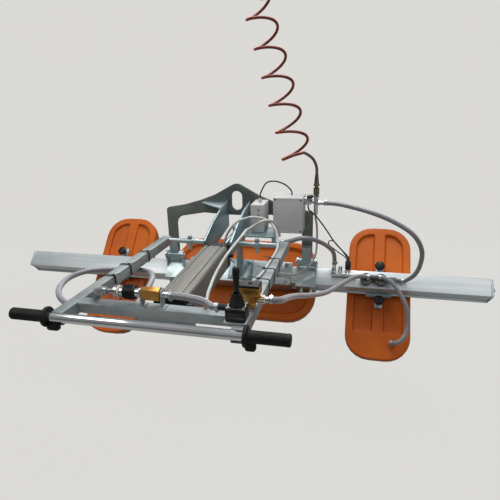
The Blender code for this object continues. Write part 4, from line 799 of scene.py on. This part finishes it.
thinTubes = {
    "whiteTubeLeft": mm(
        (150, -905, -98), (145, -875, -82), (136, -829, -77), (124, -725, -67), (126, -612, -47),
        (147, -500, -17), (140, -400, -22), (127, -295, -45), (169, -265, -24), (203, -235, -29),
        (225, -215, -62), (229, -200, -100),
    ),
    "whiteTubeRight": mm(
        (30, -215, -215), (24, -225, -201), (9, -245, -155), (22, -265, -91), (62, -265, -35),
        (103, -245, -18), (143, -235, -16), (188, -235, -29), (220, -255, -56), (238, -300, -100),
        (243, -380, -109), (241, -480, -109), (236, -602, -109), (224, -687, -106), (214, -760, -104),
        (206, -830, -96.5),
    ),
    "whiteTubeDown": mm(
        (359, -60, -40.5), (359, -60, -55), (363, -40, -92), (366, -42, -156), (361, -66, -225),
        (322, -78, -283), (275, -60, -318), (215, -30, -328.5), (196, -28, -328.6),
    ),
}
bends = {  # where a tube leaves one body and joins the next
    "hose_manifold": ("frame", "beam", (0.27, -0.158, -0.13), (0.4415, 0.029, -0.262)),
    "hose_supply": ("frame", "beam", (0.55, -0.09, 0.0), (0.55, -0.09, -0.285)),
    "hose_gauge": ("frame", "beam", (0.352, -0.580, -0.186), (0.556, -0.044, -0.312)),
    "hose_pad": ("beam", "right_carriage", (0.70, -0.045, -0.335), (0.715, -0.135, -0.572)),
    "sensor_cable": ("frame", "beam", (0.34, -0.08, -0.03), (0.497, 0.038, -0.248)),
    "whiteTubeDown": ("frame", "beam", (0.366, -0.042, -0.156), (0.275, -0.060, -0.318)),
}


def makeTube(name, points, kind, body="frame", stands=(), bend=None):
    radius, step, sides, finish = tubeKinds[kind]
    mesh = tubeMesh(name, smoothRoute(points, step), radius, sides)
    piece = settle(name, mesh, finish, None if bend else body, stands, 60)
    if bend:
        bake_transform(piece, *bend)


for kind, family in (("hose", hoseRoutes), ("cable", cableRoutes)):
    for node, points in family.items():
        makeTube(node + "_tube", points, kind, stands=[node], bend=bends.get(node))
for name, points in thinTubes.items():
    makeTube(name, points, "thin", bend=bends.get(name))


def makeElbow():  # where the lowest thin tube enters the centre sleeve
    collar = mm((0, 0), (6.8, 0), (7.4, 1), (7.4, 9), (6.2, 11), (0, 11))
    post = mm((0, 0), (8.2, 0), (8.2, 12), (6.6, 13.5), (6.6, 24), (0, 25.5))
    elbow = [turnedMesh("collar", collar, (0.187, -0.028, -0.3286), alongX, 28)]
    elbow.append(turnedMesh("post", post, onBeam(0.184, -0.008, 0.0118), up, 28))
    settle("tubeElbow", joined("tubeElbow", elbow), "satin", "beam")


makeElbow()

frameEnds = mm(
    (-152, -880, -78), (-75, -836, -175), (43, -880, -78), (183, -914, -84.2), (233, -158, -138),
    (400, -60, 12), (312, -830, -92.2),
)
beamEnds = mm((737, -9.9, -333.6), (592, -31.9, -314.7), (641, -31.9, -314.7))
hoseEnds = {  # body: each end's place and what it faces
    "frame": [(place, alongX) for place in frameEnds],
    "beam": [(onBeam(0.442, 0.064, 0.0123), ahead), *((place, alongX) for place in beamEnds)],
    "right_carriage": [((0.707, -0.119, -0.586), up)],
}
for bodyName, ends in hoseEnds.items():
    spots = [(place, facing, Vector(facing).orthogonal().normalized()) for place, facing in ends]
    repeated(bodyName + "HoseClamps", clampShape(0.0097), spots, "zincBright", bodyName, 5.0)
print("hoses, cables and clamps made")


# the carried-over solids, softened
lug = {"half": 0.026, "seen": 0.015, "outside": 0.058, "slack": 0.0008}
slimmed = {"leftHolder": -0.650, "rightHolder": 0.645}
soft = {"merge": 2e-6, "flat": 1.0, "edgeAngle": 32, "segments": 3}


def slimLugs(shape, middle):  # narrows the lugs that end under the hand knobs
    for vert in shape.verts:
        flat = beamTurn.inverted() @ (vert.co - onBeam(0, 0, 0))
        across = flat.x - middle
        if abs(flat.y) > lug["outside"] and abs(abs(across) - lug["half"]) < lug["slack"]:
            vert.co.x = middle + math.copysign(lug["seen"], across)


def softened(node, name, finish, width):
    shape = bmesh.new()
    shape.from_mesh(frame["nodes"][node].data)
    bmesh.ops.remove_doubles(shape, verts=shape.verts, dist=soft["merge"])
    flat = math.radians(soft["flat"])
    bmesh.ops.dissolve_limit(shape, angle_limit=flat, verts=shape.verts, edges=shape.edges)
    if name in slimmed:
        slimLugs(shape, slimmed[name])
    carrier = placed(name + "Carrier", fromShape(shape, name, False))
    edge = carrier.modifiers.new("edges", "BEVEL")
    edge.width, edge.segments, edge.limit_method = width, soft["segments"], "ANGLE"
    edge.angle_limit = math.radians(soft["edgeAngle"])
    edge.miter_outer = "MITER_ARC"
    settle(name, evaluated(carrier, name), finish, body_of(frame["nodes"][node])[0], [node])


softList = {  # node: name, finish, edge width
    "bail_plate": ("bailPlate", "bail", 0.0016),
    "bail_foot_left": ("leftBailFoot", "zinc", 0.001),
    "bail_foot_right": ("rightBailFoot", "zinc", 0.001),
    "hanger_left": ("leftHanger", "zinc", 0.0012),
    "hanger_right": ("rightHanger", "zinc", 0.0012),
    "handle_frame": ("handleFrame", "frame", 0.0018),
    "brass_block": ("brassBlock", "brass", 0.0010),
    "lever_valve_body": ("leverValveBody", "black", 0.0008),
    "switch_box": ("switchBox", "paint", 0.0005),
    "enclosure_box": ("enclosureBox", "paint", 0.0008),
    "enclosure_lid": ("enclosureLid", "paint", 0.0004),
    "inlet_tee": ("inletTee", "chrome", 0.0006),
    "cylinder_barrel": ("cylinderBarrel", "barrel", 0.0010),
    "cylinder_rear_cap": ("cylinderRearCap", "black", 0.0014),
    "cylinder_front_cap": ("cylinderFrontCap", "black", 0.0014),
    "cylinder_bracket": ("cylinderBracket", "zinc", 0.0010),
    "rod_yoke": ("rodYoke", "zinc", 0.0010),
    "tilt_lever": ("tiltLever", "zinc", 0.0012),
    "beam_tube": ("beamTube", "beam", 0.0022),
    "end_cap_left": ("leftEndCap", "zincBright", 0.0006),
    "end_cap_right": ("rightEndCap", "zincBright", 0.0006),
    "centre_sleeve": ("centreSleeve", "zincBright", 0.0022),
    "pivot_clamp_left": ("leftClamp", "zincBright", 0.0010),
    "pivot_clamp_right": ("rightClamp", "zincBright", 0.0010),
    "centre_seal": ("centreSeal", "foam", 0.0015),
    "left_seal": ("leftSeal", "foam", 0.0015),
    "right_seal": ("rightSeal", "foam", 0.0015),
    "left_holder": ("leftHolder", "zinc", 0.0008),
    "right_holder": ("rightHolder", "zinc", 0.0008),
    "manifold": ("manifoldBlock", "satin", 0.0006),
    "gauge_pair": ("gaugePair", "darkSteel", 0.0006),
}
for node, (name, finish, width) in softList.items():
    softened(node, name, finish, width)
print("solids softened:", len(softList))

pads = {  # node: name, cell of the cast
    "centre_pad": ("centrePad", 0.0034),
    "left_pad": ("leftPad", 0.0028),
    "right_pad": ("rightPad", 0.0028),
}
casting = {"factor": 0.5, "rounds": 18}


def softPad(node, name, cell):  # a moulded pad: every edge rounded, in the pad's own upright frame
    flat = beamTurn.to_3x3().transposed().to_4x4()
    mesh = frame["nodes"][node].data.copy()
    mesh.transform(flat)
    carrier = placed(name + "Carrier", mesh)
    cast = carrier.modifiers.new("cast", "REMESH")
    cast.mode, cast.voxel_size = "VOXEL", cell
    ease = carrier.modifiers.new("ease", "SMOOTH")
    ease.factor, ease.iterations = casting["factor"], casting["rounds"]
    result = evaluated(carrier, name)
    result.transform(flat.inverted())
    settle(name, result, "pad", body_of(frame["nodes"][node])[0], [node], 80)


for node, (name, cell) in pads.items():
    softPad(node, name, cell)
print("pads cast")

for node, finish in (("handlebar", "polished"), ("cylinder_rod", "chrome")):
    carried = frame["nodes"][node]
    carried.data.materials.clear()
    carried.data.materials.append(finishes[finish])


# grips and knobs
grip = {
    "radius": 0.0165,
    "length": 0.112,
    "guard": 0.028,
    "guardThickness": 0.010,
    "bore": 0.0139,
    "ribs": 17,
    "rest": 0.0222,
    "restWidth": 0.0204,
    "halfBar": 0.383,
    "y": -0.9776,
    "z": -0.1245,
}


def makeGrip(side, sign):
    inner, outer = grip["halfBar"] - grip["length"], grip["halfBar"] + 0.004
    radius, guard, bore = grip["radius"], grip["guard"], grip["bore"]
    profile = [(0.004, outer - 0.003), (0.004, outer), (radius - 0.0035, outer)]
    profile += [(radius - 0.001, outer - 0.0012), (radius, outer - 0.004)]
    pitch = (grip["length"] - 0.034) / grip["ribs"]
    for i in range(grip["ribs"]):
        profile += groove(radius, 0.0009, outer - 0.010 - i * pitch)
    foot = inner + grip["guardThickness"]
    profile += [(radius, foot + 0.008), (radius + 0.002, foot + 0.002), (guard - 0.004, foot)]
    profile += [(guard - 0.001, foot - 0.0012), (guard, foot - 0.0035), (guard, inner + 0.003)]
    profile += [(guard - 0.0015, inner + 0.0006), (guard - 0.004, inner)]
    profile += [(bore, inner), (bore, inner + 0.004)]
    body = turnedMesh("gripBody", profile, (0, grip["y"], grip["z"]), (sign, 0, 0), 64)
    start, end = (inner + 0.0018, inner + 0.0302)
    if sign < 0:  # both finger rests point to +X
        start, end = (-inner - 0.0090, 0.0280 - inner)
    low = (start, grip["y"] - grip["restWidth"] / 2, grip["z"] - radius - grip["rest"])
    high = (end, grip["y"] + grip["restWidth"] / 2, grip["z"] - 0.008)
    mesh = joined("grip", [body, boxMesh(low, high, 0.0078, 6)])
    settle(side + "Grip", mesh, "rubber", "frame", ["grip_" + side], 40)


makeGrip("left", -1)
makeGrip("right", 1)

knob = {"radius": 0.023, "height": 0.026, "lobes": 6, "depth": 0.045, "spacing": 0.081, "base": -0.0520}


def makeKnobs():
    def lobes(angle, height):
        return 1 + (knob["depth"] * math.cos(knob["lobes"] * angle) if height > 0.0125 else 0)

    tall, wide = knob["height"], knob["radius"] / (1 + knob["depth"])
    profile = [(0, tall), (wide * 0.45, tall), (wide * 0.78, tall - 0.0012), (wide * 0.95, tall - 0.0042)]
    profile += [(wide, tall - 0.0075), (wide * 0.97, tall - 0.0115), (wide * 0.8, tall - 0.0135)]
    profile += mm((12.5, 9.5), (11.8, 6), (12.2, 0.2), (6.5, 0.2), (6.5, 3))
    for side, x in (("left", slimmed["leftHolder"]), ("right", slimmed["rightHolder"])):
        for place, sign in (("upper", 1), ("lower", -1)):
            node = "%s_knob_%s" % (side, place)
            base = onBeam(x, sign * knob["spacing"], knob["base"])
            mesh = turnedMesh(node, profile, base, up, 72, lobes)
            settle(side + place.capitalize() + "Knob", mesh, "black", node, [node], 40)


makeKnobs()

# lever valve
valve = {
    "x": 0.240,
    "y": -0.920,
    "bodyTop": -0.0742,
    "seat": -0.1142,
    "screws": (0.0205, 0.0180),
    "plate": (0.0303, 0.0283),
    "grooves": (-0.0985, -0.0865),
    "folds": 5,
    "neck": 0.0122,
    "spread": 0.0068,
}


def makeLeverValve():
    x, y, top = valve["x"], valve["y"], valve["bodyTop"] + 0.0003
    boot = mm((9.6, 36), (11.3, 36), (11.8, 34.5))
    for i in range(valve["folds"]):
        radius = valve["neck"] + valve["spread"] * (i / (valve["folds"] - 1)) ** 1.3
        height = 0.032 - 0.0055 * i
        boot += [(radius + 0.0010, height), (radius + 0.0012, height - 0.0014)]
        boot.append((radius - 0.0004, height - 0.0030))
    boot += mm((20.6, 4.5), (21.2, 2.5), (21, 0), (13, 0), (9.6, 36))
    turned("valveBoot", boot, (x, y, top), alongZ, "rubber", "frame", 64, ["valve_bellows"], 50)
    ring = mm((21.4, 0), (23.6, 0), (24, 0.6), (23.6, 2.2), (21.6, 2.4), (21.4, 0))
    turned("valveRing", ring, (x, y, top), alongZ, "satin", "frame", 56, (), 40)
    lever = mm(
        (0, 84), (3.5, 83.7), (6.2, 82.5), (8.3, 79.5), (9.4, 75.5), (9.6, 70), (9.1, 60), (8.4, 50),
        (7.5, 38), (6.6, 28), (6, 24), (6.8, 23.2), (6.8, 20.6), (5.2, 19.8), (5, 0), (4.3, -2.5),
        (2.5, -4.3), (0, -5),
    )
    turned("valveLever", lever, (x, y, top + 0.022), alongZ, "black", "valve_lever", 48, ["valve_lever"], 40)
    wide, deep = valve["plate"]
    low = (x - wide, y - deep, valve["seat"] - 0.0001)
    high = (x + wide, y + deep, valve["seat"] + 0.0062)
    settle("valvePlate", boxMesh(low, high, 0.0008), "zincBright", "frame")
    for i, z in enumerate(valve["grooves"]):
        mesh = boxMesh((x - 0.0240, y - 0.0244, z), (x + 0.0240, y - 0.0238, z + 0.0013))
        settle("valveGroove%d" % i, mesh, "darkSteel", "frame")


makeLeverValve()

# slide valve
slide = {"centre": (0, -0.880, -0.078), "sleeve": (-0.0770, 0, 0)}
sleeveRibs = {"Count": 44, "Radius": 0.0199, "Depth": 0.0022, "Width": 0.0014, "Length": 0.0262}
slideParts = {  # finish, profile
    "slideNippleRight": ("chrome", mm(
        (0, 36), (7, 36), (7.8, 33.5), (6.8, 33), (7.8, 29.5), (6.8, 29), (7.8, 24), (7.8, 21), (10, 20.5),
        (10, 16), (9.2, 14.8), (0, 14.8),
    )),
    "slideCollar": ("chrome", mm(
        (0, -38.6), (10.8, -38.6), (11.2, -39.2), (11.2, -40.8), (7.8, -41), (7.8, -44), (12.6, -44.4),
        (13.1, -45.6), (13.2, -49), (13.2, -111), (0, -111),
    )),
    "slideBarb": ("satin", mm(
        (0, -110.8), (17.2, -110.8), (18.1, -111.8), (18.1, -121.4), (17, -122.4), (10, -122.6), (10, -126),
        (8.6, -126.2), (7.8, -131), (8.6, -131.5), (7.8, -136.5), (8.6, -137), (7.4, -145), (0, -145),
    )),
    "slideRing": ("mark", mm(
        (13.7, -106.2), (16.4, -106.2), (17, -106.6), (17, -110), (13.7, -110.4), (13.7, -106.2),
    )),
}


def makeSlideValve():
    centre = slide["centre"]
    brass = mm(
        (0, 15), (7.5, 15), (18.2, 15), (19.6, 13.8), (20.2, 12), (20.2, -35.5), (19.2, -37.8),
        (17.8, -38.8), (7.5, -39), (0, -39),
    )
    turned("slideValveBody", brass, centre, alongX, "brass", "frame", 8, ["slide_valve_body"])
    for name, (finish, profile) in slideParts.items():
        turned(name, profile, centre, alongX, finish)
    sleeve = mm(
        (13.6, -60.2), (18.6, -60.2), (19.5, -61.2), (20, -63), (20, -91), (19.5, -92.8), (18.6, -93.8),
        (13.6, -93.8), (13.6, -60.2),
    )
    body = "slide_valve_sleeve"
    turned("slideSleeve", sleeve, centre, alongX, "black", body, 64, ["slide_valve_sleeve"])
    middle = Vector(centre) + Vector(slide["sleeve"])
    ribs("slideSleeveRibs", middle, alongX, "black", body, **sleeveRibs)


makeSlideValve()

# brass block on the right rail
block = {"x": 0.2525, "y": -0.830, "seat": -0.1142, "cover": (0.0296, 0.0216)}
blockFittings = {  # side, reach, radius, height, finish
    "blockFittingLeft": (-1, 0.0465, 0.0096, 0.018, "satin"),
    "blockFittingRight": (1, 0.0425, 0.0118, 0.022, "chrome"),
}


def makeBlockDetails():
    x, y, seat = block["x"], block["y"], block["seat"]
    wide, deep = block["cover"]
    cover = boxMesh((x - wide, y - deep, seat + 0.0585), (x + wide, y + deep, seat + 0.0668), 0.0022, 4)
    nut = mm((0, 3), (5.2, 3), (6, 2.2), (6, 0), (0, 0))
    top = turnedMesh("coverNut", nut, (x + 0.001, y + 0.002, seat + 0.0666), alongZ, 6)
    settle("blockCover", joined("blockCover", [cover, top]), "black", "frame")
    for name, (side, reach, radius, height, finish) in blockFittings.items():
        profile = [(0, 0.0236), (radius, 0.0236), (radius, reach - 0.0012)]
        profile += [(radius - 0.001, reach), (0, reach)]
        turned(name, profile, (x, y, seat + height), (side, 0, 0), finish, sides=6)
    barb = mm((0, 42), (8.8, 42), (8.4, 45.5), (9, 46), (8.4, 50), (9, 50.5), (8, 54.5), (0, 54.5))
    turned("blockBarb", barb, (x, y, seat + 0.022), alongX, "chrome", sides=36)
    silencer = mm((0, 0), (6.2, 0), (7, 1), (7, 11), (5.8, 13.5), (0, 14))
    turned("blockSilencer", silencer, (x + 0.012, y - 0.0178, seat + 0.014), towardsUser, "brass", sides=32)


makeBlockDetails()

# coupling and tap on the air inlet
coupling = {"radius": 0.0125, "grooves": 6, "grooveDepth": 0.0006, "pitch": 0.0036}
tap = {"low": (0.3215, -0.0790, 0.0345), "high": (0.3455, -0.0410, 0.0425), "stem": (0.334, -0.060, 0.0300)}


def makeCoupling():
    x, y, base = inlet["x"], inlet["y"], inlet["base"]
    socket = mm(
        (0, 131), (6.6, 131), (7.2, 127), (8, 118), (8.8, 108), (9.7, 95.5), (10.4, 92.3), (11.8, 91.8),
        (12.5, 90.3), (12.5, 84.3), (11.6, 83.5), (6.5, 83.3), (6.5, 43.3), (0, 43.3),
    )
    turned("hoseSocket", socket, (x, y, 0), alongZ, "tarnish", "frame", 48, ["hose_socket"], 35)
    sleeve = mm((6.9, 33.8), (10.8, 33.8), (12.2, 32.6))
    for i in range(coupling["grooves"]):
        sleeve += groove(coupling["radius"], coupling["grooveDepth"], 0.0300 - coupling["pitch"] * i)
    sleeve += mm((12.5, 6), (11.2, 3.4), (6.9, 3.2), (6.9, 33.8))
    body = "coupling_sleeve"
    turned("couplingSleeve", sleeve, (x, y, base), alongZ, "tarnish", body, 56, ["coupling_sleeve"])
    lever = boxMesh(tap["low"], tap["high"], 0.0022)
    stem = turnedMesh("tapStem", mm((0, 0), (4.5, 0), (4.5, 6), (0, 6)), tap["stem"], alongZ, 24)
    settle("inletTap", joined("inletTap", [lever, stem]), "black", "frame")


makeCoupling()

# gauges and sensor on the beam
gauge = {
    "places": (0.584, 0.648),
    "ahead": -0.006,
    "radius": 0.0255,
    "top": 0.0281,
    "lifts": (0, 0.0009, 0.0014),
    "ticks": 21,
    "sweep": 270,
    "hand": 212,
}


def makeGauges():
    radius, ticks = gauge["radius"], []
    outer, inner = radius + 0.0006, radius - 0.0036
    bezel = [(radius + 0.0002, 0), (outer, 0.0004), (outer, 0.0026), (radius - 0.0008, 0.0034)]
    bezel += [(radius - 0.0030, 0.0032), (inner, 0.0014), (inner, 0), (radius + 0.0002, 0)]
    dial = [(0, 0.0008), (radius - 0.0037, 0.0008), (radius - 0.0037, 0), (0, 0)]
    hub = mm((0, 1.6), (2.2, 1.4), (2.4, 0), (0, 0))

    def outward(degrees):
        turn = math.radians(degrees)
        return math.cos(turn) * Vector(alongX) + math.sin(turn) * ahead

    for x in gauge["places"]:
        number = "%d" % round(x * 1000)
        heights = (gauge["top"] + lift for lift in gauge["lifts"])
        middle, face, raised = (onBeam(x, gauge["ahead"], height) for height in heights)
        turned("gaugeBezel" + number, bezel, middle, up, "darkSteel", "beam", 72, (), 35)
        turned("gaugeDial" + number, dial, middle, up, "dial", "beam", 64, (), 35)
        for i in range(gauge["ticks"]):
            out = outward(gauge["sweep"] * (i / (gauge["ticks"] - 1) - 0.5) - 90)
            ticks.append((face + out * (radius - 0.0062), up, out))
        out = outward(gauge["hand"])
        hand = boxMesh((-0.004, -0.0005, 0), (0.0165, 0.0005, 0.0006))
        pointed = Matrix((out, up.cross(out), up)).transposed().to_4x4()
        hand.transform(Matrix.Translation(raised) @ pointed)
        meshes = [hand, turnedMesh("hub", hub, face, up, 24)]
        settle("gaugeHand" + number, joined("hand", meshes), "black", "beam")
    tick = boxMesh((-0.0016, -0.0003, 0), (0.0016, 0.0003, 0.0003))
    repeated("gaugeTicks", tick, ticks, "mark", "beam")


makeGauges()

sensor = {"low": (0.4905, 0.0400, 0.0005), "high": (0.5155, 0.0720, 0.0283), "neck": (0.503, 0, 0.0203)}
sensorLoop = mm(
    (497, 11.8, -286.2), (496.5, 0, -272), (493.1, -20, -239.3), (455.6, -24, -210.8), (419.4, -24, -182.3),
    (415.8, -22, -167.3), (433, -20, -163.2), (460.8, -18, -190.2), (499, -18, -239.3), (509, 0, -272),
    (509, 11.8, -286.2),
)


def makeSensor():
    makeTube("sensorLoop", sensorLoop, "loop", "beam")
    body = boxMesh(sensor["low"], sensor["high"], 0.0028)
    body.transform(Matrix.Translation(onBeam(0, 0, 0)) @ beamTurn)
    neck = mm((0, 81.8), (4.6, 81.8), (5.6, 79.5), (5.6, 71.5), (0, 71.5))
    meshes = [body, turnedMesh("sensorNeck", neck, onBeam(*sensor["neck"]), ahead, 24)]
    settle("sensorPlug", joined("sensorPlug", meshes), "black", "beam", ["vacuum_sensor"])


makeSensor()

# cable ties on the rails
tie = {"width": 0.0405, "corner": 0.006, "band": 0.0060, "thickness": 0.0016, "tail": 0.026, "curl": 9.0}
rail = {"x": 0.2525, "z": -0.132, "rightLift": 0.0045}


def tieShape(tall):
    shape = bmesh.new()
    half, high, corner = tie["width"] / 2, tall / 2, tie["corner"]
    inner, outer = [], []
    for grow, loop in ((0, inner), (tie["thickness"], outer)):
        for quarter, (cx, cz) in enumerate(((1, 1), (-1, 1), (-1, -1), (1, -1))):
            for i in range(6):
                a = math.radians(90 * quarter + 18 * i)
                x = cx * (half - corner) + (corner + grow) * math.cos(a)
                loop.append((x, cz * (high - corner) + (corner + grow) * math.sin(a)))
    side = tie["band"] / 2
    sections = ((inner, -side), (outer, -side), (outer, side), (inner, side))
    rows = [[shape.verts.new((x, y, z)) for x, z in loop] for loop, y in sections]
    for lower, upper in zip(rows, rows[1:] + rows[:1]):
        for i in range(len(lower)):
            j = (i + 1) % len(lower)
            shape.faces.new((lower[i], lower[j], upper[j], upper[i]))
    head = boxMesh((half - 0.010, -0.0036, high - 0.0005), (half - 0.002, 0.0036, high + 0.0042), 0.0007)
    start = half - 0.008
    tail = boxMesh((start, -0.0021, high + 0.0010), (start + tie["tail"], 0.0021, high + 0.0021), 0.0003)
    for vert in tail.vertices:
        vert.co.z += tie["curl"] * max(0.0, vert.co.x - start) ** 2
    return joined("tie", [fromShape(shape, "band"), head, tail])


places = [((-rail["x"], y, rail["z"]), alongZ, alongX) for y in (-0.695, -0.588, -0.444)]
repeated("leftRailTies", tieShape(tie["width"]), places, "black", "frame")
lifted = rail["z"] + rail["rightLift"]
places = [((rail["x"], y, lifted), alongZ, (-1, 0, 0)) for y in (-0.660, -0.567, -0.466)]
repeated("rightRailTies", tieShape(tie["width"] + 2 * rail["rightLift"]), places, "black", "frame")


# screws and bolts
def corners(middle, first, second):  # a rectangle's corners, from its middle and two half sides
    middle, first, second = Vector(middle), Vector(first), Vector(second)
    return [middle + first * i + second * j for i in (-1, 1) for j in (-1, 1)]


def makeScrews():
    lid = corners((0.2475, -0.1122, -0.0355), (0.0535, 0, 0), (0, 0, 0.067))
    cap = corners((0.010, -0.8230, -0.165), (0.036, 0, 0), (0, 0, 0.036))
    cap = [spot + Vector((0, 0.002 * (i % 2), 0)) for i, spot in enumerate(cap)]
    wide, deep = valve["screws"]
    block = corners((valve["x"], valve["y"], valve["bodyTop"]), (wide, 0, 0), (0, deep, 0))
    plugs = [(0.123, -0.1150, z) for z in (-0.0155, -0.0375)]
    feet = [(x + side * 0.012, -0.0143, -0.209) for x in (-0.3197, 0.3197) for side in (-1, 1)]
    bars = [(x, -0.2410, -0.1133) for x in (-0.143, 0.143)]
    sleeve = [onBeam(x, y, 0.0122) for x in (-0.225, 0.225) for y in (-0.040, 0.040)]
    manifold = [onBeam(x, 0.009, 0.0161) for x in (0.4550, 0.4850, 0.5280)]
    rows = (  # name, shape, spots, facing, finish, body, spin
        ("valveScrews", screwShape(0.0041, 0.0032), block, alongZ, "satin", "frame", 6.0),
        ("lidScrews", screwShape(0.0037, 0.0022), lid, towardsUser, "black", "frame", 6.0),
        ("switchBoxPlugs", screwShape(0.0033, 0.0016), plugs, towardsUser, "black", "frame", 0.0),
        ("frontCapScrews", screwShape(0.0050, 0.0036), cap, towardsUser, "satin", "frame", 6.0),
        ("bailFootBolts", hexShape(0.013, 0.0072), feet, towardsUser, "satin", "frame", 1.0),
        ("rearBarNuts", hexShape(0.0165, 0.0075), bars, alongZ, "satin", "frame", 1.0),
        ("sleeveBolts", hexShape(0.013, 0.0070), sleeve, up, "satin", "beam", 1.0),
        ("manifoldScrews", screwShape(0.0032, 0.0030), manifold, up, "zincBright", "beam", 6.0),
    )
    for name, shape, spots, facing, finish, body, spin in rows:
        repeated(name, shape, [(spot, facing, alongX) for spot in spots], finish, body, spin)
    ends = [
        (onBeam(x, y, z), (side, 0, 0), alongZ)
        for side, x in ((-1, -1.1416), (1, 1.1056))
        for y in (-0.030, 0.030)
        for z in (-0.010, -0.060)
    ]
    repeated("endCapScrews", screwShape(0.0030, 0.0018), ends, "satin", "beam", 6.0)


makeScrews()
print("fittings, ties and screws made")

# studio
studio = {
    "backdrop": srgb(224, 223, 219),
    "floor": -0.98,
    "front": -4.0,
    "back": 3.2,
    "bend": 1.2,
    "top": 5.5,
    "halfWidth": 7,
    "camera": 1.0,
    "glow": 0.94,
    "ambient": 0.40,
    "dimming": 0.75,
    "mirrored": 0.22,
    "target": Vector((0.05, -0.3, -0.25)),
    "sky": ((0.30, (0.34, 0.34, 0.33, 1)), (0.52, (0.62, 0.62, 0.61, 1)), (0.85, (1.0, 1.0, 1.0, 1))),
}


def makeStage():
    shape = bmesh.new()
    back, bend = studio["back"], studio["bend"]
    outline = [(studio["front"], 0.0), (back, 0.0)]
    for angle in (math.radians(degrees) for degrees in range(15, 91, 15)):
        outline.append((back + bend * math.sin(angle), bend - bend * math.cos(angle)))
    outline.append((back + bend, studio["top"]))
    sides = (-studio["halfWidth"], studio["halfWidth"])
    rows = [[shape.verts.new((x, y, studio["floor"] + z)) for y, z in outline] for x in sides]
    for i in range(len(outline) - 1):
        shape.faces.new((rows[0][i], rows[1][i], rows[1][i + 1], rows[0][i + 1]))
    mesh = fromShape(shape, "backdrop", False)
    mesh.shade_smooth()
    made = Finish("backdropPaper", Roughness=0.9)
    rays = ("Is Camera Ray", "Is Glossy Ray", "Is Transmission Ray")
    seen, glossy, clear = (made.node("ShaderNodeLightPath", output=ray) for ray in rays)
    highest = {"operation": "MAXIMUM"}
    shown = made.node("ShaderNodeMath", highest, {0: seen, 1: glossy * studio["mirrored"]})
    shown = made.node("ShaderNodeMath", highest, {0: shown, 1: clear})
    tone = made.patches(0.6, 2, 0.3, 0.8)
    colour = made.blend(tone * 0.25, studio["backdrop"], srgb(220, 218, 214))
    # the object gets less back from the floor than the camera sees
    made.feed(made.shader.inputs["Base Color"], made.blend(studio["dimming"], colour, srgb(66, 65, 63)))
    glow = made.node("ShaderNodeEmission", None, {"Color": colour, "Strength": studio["camera"]})
    paper = Value(made, made.shader.outputs[0])
    mix = made.node("ShaderNodeMixShader", None, {0: shown * studio["glow"], 1: paper, 2: glow})
    made.feed(made.tree.nodes["Material Output"].inputs["Surface"], mix)
    mesh.materials.append(made.material)
    placed("backdrop", mesh)


makeStage()

lamps = {  # place, size, power, colour
    "keyLight": ((-1.9, -2.3, 2.6), 1.9, 34, (1.0, 0.985, 0.96)),
    "fillLight": ((2.7, -1.9, 1.5), 2.2, 14, (0.95, 0.97, 1.0)),
    "topLight": ((0.3, 0.4, 3.0), 2.4, 104, (1.0, 1.0, 1.0)),
    "rearLight": ((-0.8, 3.0, 1.6), 1.8, 18, (0.97, 0.98, 1.0)),
}


def makeLights():
    for name, (place, size, power, colour) in lamps.items():
        data = bpy.data.lights.new(name, "AREA")
        data.shape, data.size, data.energy, data.color = "SQUARE", size, power, colour
        placed(name, data).matrix_world = aim(place, Vector(place) - studio["target"])


def makeWorld():  # a soft sky for the object, and the plain backdrop for the camera
    scene.world = bpy.data.worlds.new("studio")
    scene.world.use_nodes = True
    made = Nodes(scene.world.node_tree)
    sky = made.tree.nodes["Background"]
    facing = made.node("ShaderNodeTexCoord", output="Generated")
    height = made.node("ShaderNodeSeparateXYZ", None, {0: facing}, "Z")
    ramp = made.node("ShaderNodeValToRGB", {"stops": studio["sky"]}, {0: height})
    made.feed(sky.inputs["Color"], ramp)
    made.feed(sky.inputs["Strength"], studio["ambient"])
    plain = made.node("ShaderNodeBackground", None, {"Color": studio["backdrop"]})
    seen = made.node("ShaderNodeLightPath", output="Is Camera Ray")
    mix = made.node("ShaderNodeMixShader", None, {0: seen, 1: Value(made, sky.outputs[0]), 2: plain})
    made.feed(made.tree.nodes["World Output"].inputs["Surface"], mix)


makeLights()
makeWorld()
scene.view_settings.view_transform = "Standard"
print("studio made")
